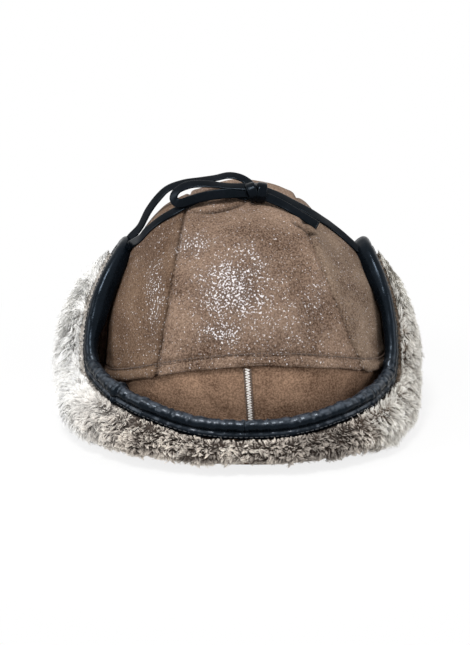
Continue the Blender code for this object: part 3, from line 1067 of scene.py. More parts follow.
CENTRE_PANEL = WornLeatherWithPaintedLightFinish(
    "centre_panel_leather", dark=(0.050, 0.025, 0.014), light=(0.316, 0.220, 0.160),
    roughness=(0.66, 0.84), patch_scale=38.0, speck_scale=950.0, grain_scale=700.0,
    bump=0.0005, specular=0.12,
)
FINISHES = (
    CENTRE_PANEL,
    replace(CENTRE_PANEL, name="left_panel_leather", light=(0.208, 0.138, 0.092)),
    replace(CENTRE_PANEL, name="right_panel_leather", light=(0.280, 0.205, 0.150)),
    LeatherFinish(
        "band_suede", dark=(0.080, 0.041, 0.023), light=(0.370, 0.235, 0.155), roughness=(0.80, 0.90),
        patch_scale=45.0, speck_scale=1000.0, grain_scale=800.0, bump=0.0005, specular=0.2,
    ),
    CoatedLeatherWithPaintedSheenFinish(
        "black_binding_leather", dark=(0.001, 0.002, 0.003), light=(0.003, 0.005, 0.008),
        roughness=(0.17, 0.27), patch_scale=70.0, speck_scale=700.0, grain_scale=900.0, bump=0.00003,
        specular=0.14, specular_tint=(0.62, 0.79, 1.0), crease_scale=260.0, crease_depth=0.35,
    ),
    LeatherFinish(
        "black_thong_leather", dark=(0.001, 0.002, 0.003), light=(0.003, 0.004, 0.006),
        roughness=(0.18, 0.30), patch_scale=90.0, speck_scale=800.0, grain_scale=1100.0, bump=0.00003,
        specular=0.09, specular_tint=(0.66, 0.82, 1.0), crease_scale=380.0, crease_depth=0.30,
    ),
    PileFinish("wool_pile", (0.36, 0.30, 0.24), (0.68, 0.61, 0.52), curl_scale=420.0, bump=0.0022),
    PileFinish("fur_pelt", (0.45, 0.40, 0.36), (1.0, 0.98, 0.95), curl_scale=380.0, bump=0.0020, tinted=True),
    HairFinish("fur_hair"),
    ThreadFinish("brown_thread", (0.045, 0.028, 0.020), (0.14, 0.095, 0.070)),
    ThreadFinish("white_thread", (0.62, 0.58, 0.54), (0.86, 0.83, 0.80)),
    ThreadFinish("black_thread", (0.004, 0.005, 0.006), (0.030, 0.034, 0.040)),
)


@dataclass
class Wardrobe:
    """All finishes of the hat, made once."""

    materials: dict[str, bpy.types.Material] = field(init=False)

    def __post_init__(self) -> None:
        """Makes each finish's material."""
        self.materials = {finish.name: finish.material() for finish in FINISHES}

    def dress(self, piece: Piece, finish: str, slot: Slot, nodes: Sequence[str] = (), body: str = "") -> None:
        """Gives a piece its finish, hides the solids that it replaces and attaches it to its body.

        Args:
            piece: The piece.
            finish: Name of the finish.
            slot: The record's slot for it; not used.
            nodes: The solids that it replaces.
            body: The body that it moves with, if it is one alone.
        """
        piece.data.materials.append(self.materials[finish])
        if nodes:
            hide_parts(*nodes)
        if body:
            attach(piece, body)
        LOG.info("%s: %d faces in %s", piece.name, len(piece.data.polygons), finish)


# Hairs


@dataclass
class HairField:
    """Hairs on a surface: where they root, how they lie and how they are coloured."""

    roots: Array
    outward: Array
    comb: Array
    length: Array
    width: Array
    bend: Array
    wave: Array
    pull: Array
    root_tint: Array
    tip_tint: Array
    fade: Array
    tuft: Array
    floor: float
    seed: int
    shares: tuple[float, ...] = (0.0, 0.38, 0.72, 1.0)
    widths: tuple[float, ...] = (1.0, 0.95, 0.70, 0.28)
    roll: float = 0.9
    lean: float = 0.22
    bow: float = 0.5
    lie: Pair = (0.35, 0.55)
    wave_turn: float = 5.0
    gather: float = 1.3
    roundness: float = 0.55
    uneven_tint: float = 0.10
    tint_range: Pair = (0.004, 0.95)
    cell_width: Pair = (0.2, 0.8)
    cell_length: Pair = (0.1, 0.9)

    def build(self, name: str) -> Piece:
        """The hairs as one mesh of narrow ribbons.

        Args:
            name: Name of the piece.

        Returns:
            The object.
        """
        rng = np.random.default_rng(self.seed)
        count, steps = len(self.roots), len(self.shares)
        lines = self.lines(rng)
        outward = self.outward[:, None, :]
        along = unit(np.gradient(lines, axis=1))
        level = unit(np.cross(along, outward))
        over = np.cross(level, along)
        roll = rng.uniform(-self.roll, self.roll, (count, 1, 1))
        across = level * np.cos(roll) + over * np.sin(roll)
        across *= np.sign(np.sum(np.cross(across, along) * outward, axis=-1, keepdims=True))
        half = (self.width[:, None] * np.array(self.widths))[..., None] / 2
        points = np.stack((lines - across * half, lines + across * half), axis=2)
        points[..., 2] = np.maximum(points[..., 2], self.floor)
        first = (np.arange(count) * 2 * steps)[:, None] + 2 * np.arange(steps - 1)[None, :]
        quads = np.stack((first, first + 1, first + 3, first + 2), axis=-1).reshape(-1, 4)
        hairs = make_object(name, points, quads)
        self.paint(hairs, rng)
        self.unwrap(hairs)
        soft = unit(np.cross(across, along) * (1.0 - self.roundness) + outward * self.roundness)
        normals = np.repeat(soft, 2, axis=1).reshape(-1, 3)
        hairs.data.normals_split_custom_set_from_vertices(normals.tolist())
        return hairs

    def lines(self, rng: Chance) -> Array:
        """The hairs' middle lines.

        Args:
            rng: Source of chance.

        Returns:
            Points, hair by hair.
        """
        share = np.array(self.shares)[None, :, None]
        bend, wave = self.bend[:, None, None], self.wave[:, None, None]
        sideways = unit(np.cross(self.outward, self.comb))[:, None, :]
        phase = rng.uniform(0.0, FULL_TURN, (len(self.roots), 1, 1))
        lean = rng.normal(0.0, self.lean, (len(self.roots), 1, 1))
        rise = self.outward[:, None, :] * (share - self.bow * bend * share ** 2)
        lie = self.comb[:, None, :] * bend * (self.lie[0] * share + self.lie[1] * share ** 2)
        sway = sideways * (wave * np.sin(phase + self.wave_turn * share) * share + lean * share)
        lines = self.roots[:, None, :] + self.length[:, None, None] * (rise + lie + sway)
        leaders = self.leaders(rng)
        return lines + (lines[leaders] - lines) * (self.pull[:, None, None] * share ** self.gather)

    def leaders(self, rng: Chance) -> Array:
        """For each hair the number of the hair that its tuft gathers round.

        Args:
            rng: Source of chance.

        Returns:
            Hair numbers.
        """
        order = rng.permutation(len(self.roots))
        tree = KDTree(len(self.roots))
        for number in order:
            tree.insert(self.roots[number], int(number))
        tree.balance()
        leader = np.full(len(self.roots), -1)
        for number in order:
            if leader[number] < 0:
                for _, other, _ in tree.find_range(self.roots[number], float(self.tuft[number])):
                    if leader[other] < 0:
                        leader[other] = number
        return leader

    def paint(self, hairs: Piece, rng: Chance) -> None:
        """Colours the hairs from root to tip.

        Args:
            hairs: The hairs' object.
            rng: Source of chance.
        """
        share = np.array(self.shares)[None, :, None] ** self.fade[:, None, None]
        tint = self.root_tint[:, None, :] + (self.tip_tint - self.root_tint)[:, None, :] * share
        tint = tint * rng.normal(1.0, self.uneven_tint, (len(self.roots), 1, 1))
        store_tint(hairs, np.repeat(np.clip(tint, *self.tint_range), 2, axis=1).reshape(-1, 3))

    def unwrap(self, hairs: Piece) -> None:
        """Lays the hairs side by side in a map, one cell for each.

        Args:
            hairs: The hairs' object.
        """
        count, steps = len(self.roots), len(self.shares)
        cells = math.ceil(math.sqrt(count))
        number = np.arange(count)
        corner = np.column_stack((number % cells, number // cells)).astype(float)
        across = np.tile(self.cell_width, steps)
        along = np.repeat(np.linspace(*self.cell_length, steps), 2)
        place = (corner[:, None, :] + np.stack((across, along), axis=-1)[None]) / cells
        loops = np.zeros(len(hairs.data.loops), np.int32)
        hairs.data.loops.foreach_get("vertex_index", loops)
        layer = hairs.data.uv_layers.new(name=BAKE_MAP)
        layer.uv.foreach_set("vector", place.reshape(-1, 2)[loops].astype(np.float32).ravel())


def scatter(surface: Array, outward: Array, count: int, rng: Chance) -> tuple:
    """Random places on a grid surface, evenly spread over its area.

    Args:
        surface: Grid of points, columns by rows.
        outward: Its normals.
        count: How many places.
        rng: Source of chance.

    Returns:
        The places, their normals and their share of the way along the rows.
    """
    steps = surface.shape[1] - 1
    edge_a = surface[1:, :-1] - surface[:-1, :-1]
    edge_b = surface[:-1, 1:] - surface[:-1, :-1]
    area = np.linalg.norm(np.cross(edge_a, edge_b), axis=-1).ravel()
    picked = rng.choice(len(area), count, p=area / area.sum())
    i, j = picked // steps, picked % steps
    u, v = rng.random((2, count))[..., None]
    found = []
    for grid in (surface, outward):
        low = grid[i, j] * (1 - u) + grid[i + 1, j] * u
        high = grid[i, j + 1] * (1 - u) + grid[i + 1, j + 1] * u
        found.append(low * (1 - v) + high * v)
    return found[0], unit(found[1]), (j + v[:, 0]) / steps


@dataclass(frozen=True)
class FurStyle:
    """How the fur looks at one part of the hat."""

    root: Colour
    tip: Colour
    length: float
    bend: float
    wave: float
    pull: float
    spread: float
    partings: float
    fade: float
    droop: float
    tuft: float
    cropped: float


@dataclass(frozen=True)
class Fur:
    """The fur's pattern: its four styles round the hat, and its swirls, partings and uneven colours."""

    hat: HatShape
    hairs_per_area: float = 2.6e6
    width: float = 0.00042
    widths: Pair = (0.7, 1.3)
    lengths: Pair = (0.7, 1.2)
    pulls: Pair = (0.6, 1.0)
    bend_spread: float = 0.15
    bends: Pair = (0.2, 1.1)
    root_depth: float = 0.0008
    floor: float = 0.0003
    seed_step: int = 1000
    swirls: Layers = ((1.3, 0.015, 71), (0.8, 0.006, 73), (0.7, 0.003, 74))
    lift: float = 1.7
    lift_heights: Pair = (0.80, 0.97)
    partings: tuple[tuple[float, Layers, Pair], ...] = (
        (1.0, ((1.0, 0.015, 77), (0.4, 0.005, 78)), (0.02, 0.14)),
        (0.8, ((1.0, 0.0062, 79),), (0.02, 0.16)),
    )
    parting_crop: float = 0.6
    parting_dullness: float = 0.85
    crop_heights: Pair = (0.80, 1.0)
    foot_crop: float = 0.45
    foot_heights: Pair = (0.25, 0.0)
    patches: Layers = ((1.0, 0.012, 75),)
    uneven_tip: float = 0.10
    uneven_root: float = 0.25
    pale_root: float = 0.6
    pale_heights: Pair = (0.052, 0.082)
    dim_corner: float = 0.42
    dim_turns: tuple[Pair, Pair] = ((0.10, 0.33), (0.64, 0.48))
    pelt_paleness: float = 0.05
    left_turns: Pair = (0.50, 1.0)
    right_turns: Pair = (0.50, 0.72)
    back_turns: Pair = (2.6, 2.0)
    front_reach: float = 0.02
    styles: tuple[FurStyle, ...] = (
        FurStyle(
            root=(0.89, 0.87, 0.84), tip=(0.95, 0.94, 0.91), length=0.0096, bend=0.70, wave=0.24, pull=0.34,
            spread=1.3, partings=0.10, fade=0.6, droop=0.0, tuft=0.0020, cropped=0.55,
        ),
        FurStyle(
            root=(0.20, 0.15, 0.11), tip=(0.93, 0.91, 0.85), length=0.0084, bend=0.75, wave=0.22, pull=0.60,
            spread=0.9, partings=0.4, fade=1.0, droop=0.9, tuft=0.0022, cropped=0.1,
        ),
        FurStyle(
            root=(0.022, 0.010, 0.006), tip=(0.95, 0.855, 0.755), length=0.0052, bend=0.58, wave=0.32,
            pull=0.90, spread=1.2, partings=1.0, fade=1.6, droop=0.0, tuft=0.0012, cropped=0.45,
        ),
        FurStyle(
            root=(0.10, 0.062, 0.042), tip=(0.80, 0.74, 0.67), length=0.0078, bend=0.70, wave=0.22, pull=0.65,
            spread=0.8, partings=0.6, fade=1.2, droop=0.0, tuft=0.0020, cropped=0.45,
        ),
    )

    def style(self, places: Array) -> dict[str, Array]:
        """How the fur looks at places, mixed of the left, right, brow and neck styles.

        Args:
            places: Points of the fur.

        Returns:
            Each value of the style, one for each place.
        """
        x = places[:, 0] - self.hat.middle[0]
        y = places[:, 1] - self.hat.middle[1]
        turn = np.arctan2(x, -y)
        left = ease(-turn, *self.left_turns) * ease(-turn, *self.back_turns)
        right = ease(turn, *self.right_turns) * ease(turn, *self.back_turns)
        front = ease(-y, -self.front_reach, self.front_reach) * (1.0 - left - right)
        back = np.maximum(1.0 - left - right - front, 0.0)
        shares = np.stack((left, right, front, back), axis=1)
        names = [value.name for value in fields(FurStyle)]
        return {name: shares @ np.array([getattr(kind, name) for kind in self.styles]) for name in names}

    def pelt_tint(self, places: Array) -> Array:
        """Colours of the pelt under the hairs, one for each place."""
        style = self.style(places)
        return style["root"] + (style["tip"] - style["root"]) * self.pelt_paleness

    def comb(self, roots: Array, outward: Array, up: Array, spread: Array) -> Array:
        """Directions in which the hairs lie.

        Args:
            roots: Roots of the hairs.
            outward: Directions off the pelt.
            up: Shares of the flap's height.
            spread: How strongly the hairs swirl.

        Returns:
            One direction for each hair.
        """
        down = unit(-UP + outward * outward[:, 2:3])
        level = unit(np.cross(outward, down))
        swirl = layered(roots, self.swirls) * spread
        raised = 1.0 - self.lift * ease(up, *self.lift_heights)
        return unit(down * (raised * np.cos(swirl))[:, None] + level * np.sin(swirl)[:, None])

    def tints(self, roots: Array, style: dict[str, Array]) -> tuple[Array, Array]:
        """Colours of the hairs.

        Args:
            roots: Roots of the hairs.
            style: The style at each root.

        Returns:
            The colours of the roots and of the tips.
        """
        patch = layered(roots, self.patches)[:, None]
        turn = np.arctan2(roots[:, 0], -roots[:, 1])
        dim = self.dim_corner * ease(turn, *self.dim_turns[0]) * ease(turn, *self.dim_turns[1])
        tip = style["tip"] * (1.0 + self.uneven_tip * patch) * (1.0 - dim)[:, None]
        root = style["root"] * (1.0 + self.uneven_root * patch)
        pale = self.pale_root * ease(roots[:, 2], *self.pale_heights)
        return root + (tip - root) * pale[:, None], tip

    def hairs(self, name: str, surface: Array, normals: Array, seed: int) -> Piece:
        """The hairs of a stretch.

        Args:
            name: Name of the piece.
            surface: The pelt's outside.
            normals: Its normals.
            seed: Number that picks the hairs.

        Returns:
            The object.
        """
        rng = np.random.default_rng(seed)
        across = np.linalg.norm(np.diff(surface, axis=0), axis=-1)[:, :-1]
        along = np.linalg.norm(np.diff(surface, axis=1), axis=-1)[:-1]
        count = int(float((across * along).sum()) * self.hairs_per_area)
        roots, outward, up = scatter(surface, normals, count, rng)
        style = self.style(roots)
        parting = np.zeros(count)
        for strength, layers, widths in self.partings:
            parting = np.maximum(parting, strength * (1.0 - ease(np.abs(layered(roots, layers)), *widths)))
        parting = parting * style["partings"]
        shorter = 1.0 - style["cropped"] * ease(up, *self.crop_heights)
        shorter = shorter * (1.0 - self.foot_crop * ease(up, *self.foot_heights))
        shorter = shorter * (1.0 - self.parting_crop * parting) * (1.0 + style["droop"] * (0.5 - up))
        root, tip = self.tints(roots, style)
        return HairField(
            roots=roots - outward * self.root_depth, outward=outward,
            comb=self.comb(roots, outward, up, style["spread"]),
            length=style["length"] * rng.uniform(*self.lengths, count) * shorter,
            width=self.width * rng.uniform(*self.widths, count),
            bend=np.clip(style["bend"] + self.bend_spread * rng.normal(size=count), *self.bends),
            wave=style["wave"], pull=style["pull"] * rng.uniform(*self.pulls, count),
            root_tint=root, tip_tint=tip + (root - tip) * (self.parting_dullness * parting[:, None]),
            fade=style["fade"], tuft=style["tuft"], floor=self.floor, seed=seed + self.seed_step,
        ).build(name)


# Crown


@dataclass
class Crown:
    """The crown: three leather panels, the topstitch of its hem and the pile inside."""

    hat: HatShape
    wardrobe: Wardrobe
    lace_points: Array
    columns: int = 440
    rows: int = 154
    same_point: float = 1e-5
    on_plane: float = 1e-6
    skin_share: float = 0.9
    seam_height: float = 0.057
    seams_from_middle: Pair = (0.051, 0.067)
    seam_leans: Pair = (0.17, 0.41)
    seam_loops: tuple[float, ...] = (
        -0.006, -0.0035, -0.0018, -0.0008, 0.0, 0.0008, 0.0018, 0.0030, 0.0042, 0.0065,
    )
    seam_depth: float = 0.0016
    seam_width: float = 0.0010
    seam_shades: Pair = (0.34, 0.16)
    outer_ridge: float = 0.0010
    outer_ridge_place: Pair = (0.0032, 0.0019)
    inner_ridge: float = 0.0004
    inner_ridge_place: Pair = (-0.0030, 0.0022)
    tucks: Layers = ((0.3, 0.006, 21),)
    tuck_heights: Pair = (0.140, 0.118)
    lip: tuple[Pair, ...] = (
        (0.0016, -0.0016), (0.0004, -0.0010), (-0.0002, 0.0002), (0.0000, 0.0012), (0.0008, 0.0020),
        (0.0022, 0.0024), (0.0040, 0.0023), (0.0056, 0.0019), (0.0068, 0.0012), (0.0076, 0.0005),
        (0.0084, 0.0003), (0.0094, 0.0007), (0.0108, 0.0007), (0.0126, 0.0003), (0.0150, 0.0),
    )
    swells: tuple[tuple[float, float, int, float], ...] = (
        (0.0011, 0.034, 3, 1.0), (0.00045, 0.013, 5, 1.0), (0.0006, 0.021, 9, 2.2),
    )
    swell_sink: float = 0.4
    swell_heights: Pair = (0.030, 0.060)
    clear_of_laces: Pair = (0.004, 0.016)
    folds: tuple[tuple[Point, ...], ...] = (
        (
            (-0.0309, -0.0260, 0.1352), (-0.0231, -0.0316, 0.1360), (-0.0154, -0.0382, 0.1375),
            (-0.0080, -0.0372, 0.1389), (-0.0006, -0.0319, 0.1398), (0.0063, -0.0271, 0.1408),
        ),
        (
            (0.0333, -0.0443, 0.1337), (0.0388, -0.0462, 0.1303), (0.0449, -0.0469, 0.1261),
            (0.0516, -0.0394, 0.1223),
        ),
    )
    fold_spacing: float = 0.0006
    fold_depth: float = 0.0026
    fold_width: float = 0.0014
    fold_shade: float = 0.75
    fold_lips: tuple[float, ...] = (0.0012, 0.0)
    fold_lip_place: Pair = (2.2, 1.2)
    stitch_height: float = 0.0080
    stitch_proud: float = 0.0005
    stitch_points: int = 2000
    stitch_sizes: tuple[float, float, float] = (0.0034, 0.0027, 0.00045)
    pile_columns: int = 160
    pile_rows: int = 50
    pile_share: float = 0.985
    pile_start: float = 0.001
    pile_depth: float = 0.0115
    pile_curls: Layers = ((0.0012, 0.006, 31),)
    pile_sink: float = 0.0010
    pile_thickness: float = 0.0050

    def build(self) -> None:
        """Builds and dresses the crown's pieces."""
        shell = self.shell()
        for word, side in (("left", Side.LEFT), ("centre", None), ("right", Side.RIGHT)):
            piece = self.panel(shell, "crown_" + word + "_leather", side)
            thicken(piece, self.hat.leather * self.skin_share, -1.0)
            nodes = ("crown_" + word + "_panel",)
            self.wardrobe.dress(piece, word + "_panel_leather", Slot.CROWN, nodes, "crown")
        shell.free()
        self.stitches()
        self.pile()

    def shell(self) -> Shape:
        """The crown's outside in one piece, with its creases and its seams pressed in.

        Returns:
            The surface.
        """
        angles = np.linspace(0.0, FULL_TURN, self.columns, endpoint=False)
        hem = self.hat.hem(angles)
        rings = [self.hat.dome(angles, hem + up, -proud) for up, proud in self.lip]
        start = hem + self.lip[-1][0]
        for turn in np.linspace(0.0, QUARTER_TURN, self.rows)[1:]:
            rings.append(self.hat.dome(angles, start + (self.hat.top - start) * math.sin(turn), 0.0))
        points = np.stack(rings, axis=1)
        shape = bmesh.new()
        made = [shape.verts.new(point) for point in points.reshape(-1, 3)]
        for quad in grid_quads(*points.shape[:2], wrap_columns=True):
            shape.faces.new([made[number] for number in quad])
        bmesh.ops.remove_doubles(shape, verts=shape.verts, dist=self.same_point)
        bmesh.ops.recalc_face_normals(shape, faces=shape.faces)
        self.reshape(shape, self.crease_relief)
        for side, offset in product(Side, self.seam_loops):
            point, outward = self.seam_plane(side, offset)
            geometry = shape.verts[:] + shape.edges[:] + shape.faces[:]
            bmesh.ops.bisect_plane(
                shape, geom=geometry, dist=self.on_plane, plane_co=point, plane_no=outward,
            )
        self.reshape(shape, self.seam_relief)
        return shape

    def reshape(self, shape: Shape, relief: Callable[[Array], Array]) -> None:
        """Moves a surface along its normals.

        Args:
            shape: The surface, which is changed.
            relief: Gives the distances to move points by.
        """
        shape.normal_update()
        places = np.array([vertex.co for vertex in shape.verts])
        normals = np.array([vertex.normal for vertex in shape.verts])
        for vertex, place in zip(shape.verts, places + normals * relief(places)[:, None]):
            vertex.co = place

    def seam_plane(self, side: Side, offset: float) -> tuple[Vector, Vector]:
        """A plane along a seam.

        Args:
            side: The seam's side.
            offset: How far outside the seam the plane lies.

        Returns:
            A point of the plane and its normal.
        """
        outward = Vector((side.value, 0.0, side.pick(self.seam_leans))).normalized()
        x = side.value * side.pick(self.seams_from_middle) + self.hat.middle[0]
        return Vector((x, 0.0, self.seam_height)) + outward * offset, outward

    def off_seam(self, places: Array, side: Side) -> Array:
        """How far outside a side's seam places lie."""
        point, outward = self.seam_plane(side, 0.0)
        return (places - np.array(point)) @ np.array(outward)

    def crease_relief(self, places: Array) -> Array:
        """Heights of the crown's soft dents and of the folds before the bow.

        Args:
            places: Points of the crown.

        Returns:
            One height for each point.
        """
        near = np.full(len(places), 1.0)
        for point in self.lace_points:
            near = np.minimum(near, np.linalg.norm(places - point, axis=1))
        relief = np.zeros(len(places))
        for height, size, seed, squeeze in self.swells:
            relief += height * (lumps(places * np.array((1.0, 1.0, squeeze)), size, seed) - self.swell_sink)
        relief *= ease(near, *self.clear_of_laces)
        relief *= ease(places[:, 2], *self.swell_heights)
        for fold, height in zip(self.folds, self.fold_lips):
            sunk, lip = self.fold_shares(places, fold)
            relief += height * lip - self.fold_depth * sunk
        return relief

    def fold_shares(self, places: Array, fold: Sequence[Point]) -> tuple[Array, Array]:
        """Where a fold sinks and lifts the crown.

        Args:
            places: Points of the crown.
            fold: The fold's route.

        Returns:
            Shares of the fold's depth and of its lip's height, one for each point of the crown.
        """
        line = smooth_route(fold, self.fold_spacing)
        along = unit(np.gradient(line, axis=0))
        uphill = unit(np.cross(self.hat.crown_normal(line), along))
        uphill *= np.sign(uphill[:, 1:2])
        number = np.argmin(np.linalg.norm(places[:, None, :] - line[None], axis=-1), axis=1)
        across = np.sum((places - line[number]) * uphill[number], axis=1) / self.fold_width
        taper = np.sqrt(np.sin(math.pi * number / (len(line) - 1)))
        return taper * bell(across, 0.0, 1.0), taper * bell(across, *self.fold_lip_place)

    def seam_relief(self, places: Array) -> Array:
        """Heights of the sunk seams and of the turned edges beside them.

        Args:
            places: Points of the crown.

        Returns:
            One height for each point.
        """
        relief = np.zeros(len(places))
        tuck = (1.0 + layered(places, self.tucks)) * ease(places[:, 2], *self.tuck_heights)
        for side in Side:
            across = self.off_seam(places, side)
            relief -= self.seam_depth * bell(across, 0.0, self.seam_width)
            relief += self.outer_ridge * tuck * bell(across, *self.outer_ridge_place)
            relief += self.inner_ridge * bell(across, *self.inner_ridge_place)
        return relief

    def panel(self, shell: Shape, name: str, side: Side | None) -> Piece:
        """One panel of the crown.

        Args:
            shell: The whole surface.
            name: The panel's name.
            side: Its side, or none for the centre panel.

        Returns:
            The object.
        """
        part = shell.copy()
        planes = [(way, *self.seam_plane(way, 0.0)) for way in Side]
        cut = []
        for face in part.faces:
            middle = face.calc_center_median()
            beyond = [way for way, point, outward in planes if (middle - point).dot(outward) > 0.0]
            where = beyond[0] if beyond else None
            if where is not side:
                cut.append(face)
        bmesh.ops.delete(part, geom=cut, context="FACES")
        mesh = bpy.data.meshes.new(name)
        part.to_mesh(mesh)
        part.free()
        piece = mesh_object(mesh)
        # the panel's stored tint is the painted shade of its seams and folds
        store_tint(piece, self.shade(np.array([vertex.co for vertex in mesh.vertices])))
        return piece

    def shade(self, places: Array) -> Array:
        """Shade painted into the leather in its seams and folds, where shadow falls.

        Args:
            places: Points of the crown.

        Returns:
            Grey colours, one for each point.
        """
        light = np.ones(len(places))
        for side in Side:
            near = bell(self.off_seam(places, side), 0.0, self.seam_width)
            light *= 1.0 - side.pick(self.seam_shades) * near
        for fold in self.folds:
            light *= 1.0 - self.fold_shade * self.fold_shares(places, fold)[0]
        return np.repeat(light[:, None], 3, axis=1)

    def stitches(self) -> None:
        """The row of stitches along the hem."""
        fine = np.linspace(0.0, FULL_TURN, self.stitch_points)
        line = self.hat.dome(fine, self.hat.hem(fine) + self.stitch_height, -self.stitch_proud)
        piece = stitch_row("crown_hem_stitches", line, *self.stitch_sizes)
        self.wardrobe.dress(piece, "brown_thread", Slot.CROWN, body="crown")

    def pile(self) -> None:
        """The wool inside the crown."""
        angles = np.linspace(0.0, FULL_TURN, self.pile_columns, endpoint=False)
        start = self.hat.hem(angles) + self.pile_start
        rise = self.hat.top - self.pile_depth - start
        rings = []
        for turn in np.linspace(0.0, QUARTER_TURN * self.pile_share, self.pile_rows):
            rings.append(self.hat.dome(angles, start + rise * math.sin(turn), self.pile_depth))
        points = np.stack(rings, axis=1)
        inward = -self.hat.crown_normal(points)
        points = points + inward * (layered(points, self.pile_curls) - self.pile_sink)[..., None]
        flat = np.vstack((points.reshape(-1, 3), points[:, -1].mean(axis=0)))
        rim = list(range(self.pile_rows - 1, len(flat) - 1, self.pile_rows))
        caps = [(*pair, len(flat) - 1) for pair in zip(rim, rim[1:] + rim[:1])]
        quads = grid_quads(self.pile_columns, self.pile_rows, wrap_columns=True)
        piece = make_object("crown_wool", flat, quads, caps)
        thicken(piece, self.pile_thickness, 1.0)
        nodes = ("crown_left_pile", "crown_centre_pile", "crown_right_pile")
        self.wardrobe.dress(piece, "wool_pile", Slot.PILE, nodes, "crown")


# Threads


def resample(line: Array, run: Array, at: Array) -> Array:
    """Points at distances along a line, of which each point's distance is given as its run."""
    return np.column_stack([np.interp(at, run, values) for values in line.T])


def stitch_row(name: str, line: Array, step: float, length: float, radius: float) -> Piece:
    """A row of stitches along a line.

    Args:
        name: Name of the piece.
        line: Points along the line.
        step: Distance from stitch to stitch.
        length: Length of a stitch.
        radius: Radius of its thread.

    Returns:
        The object.
    """
    run = travel(line)
    middles = np.arange(step / 2, run[-1], step)
    centre = resample(line, run, middles)
    along = unit(resample(line, run, middles + length / 2) - centre)
    across = unit(np.cross(along, unit(centre - np.array(HAT_HEART))))
    outward = np.cross(across, along)
    rings = []
    for (share, size, lift), turn in product(STITCH_PROFILE, turns(THREAD_SIDES)):
        place = centre + along * (share * length) + across * (radius * size * math.cos(turn))
        rings.append(place + outward * (radius * (size * math.sin(turn) + lift)))
    starts = np.arange(len(middles)) * len(rings)
    one = grid_quads(len(STITCH_PROFILE), THREAD_SIDES, wrap_rows=True)
    quads = (one[None] + starts[:, None, None]).reshape(-1, 4)
    caps = []
    for start in starts.tolist():
        last = start + len(rings) - 1
        caps += [range(start, start + THREAD_SIDES), range(last, last - THREAD_SIDES, -1)]
    return make_object(name, np.stack(rings, axis=1), quads, caps, closed=True)


def tube(name: str, line: Array, radius: float) -> Piece:
    """A round thread along a line at an end of the hat.

    Args:
        name: Name of the piece.
        line: Points along the line.
        radius: The thread's radius.

    Returns:
        The object.
    """
    along = unit(np.gradient(line, axis=0))
    across = unit(np.cross(along, np.array(TUBE_FACING)))
    over = np.cross(across, along)
    rings = [
        line + radius * (across * math.cos(turn) + over * math.sin(turn)) for turn in turns(THREAD_SIDES)
    ]
    return swept_object(name, np.stack(rings, axis=1))


# Band between hem and fold


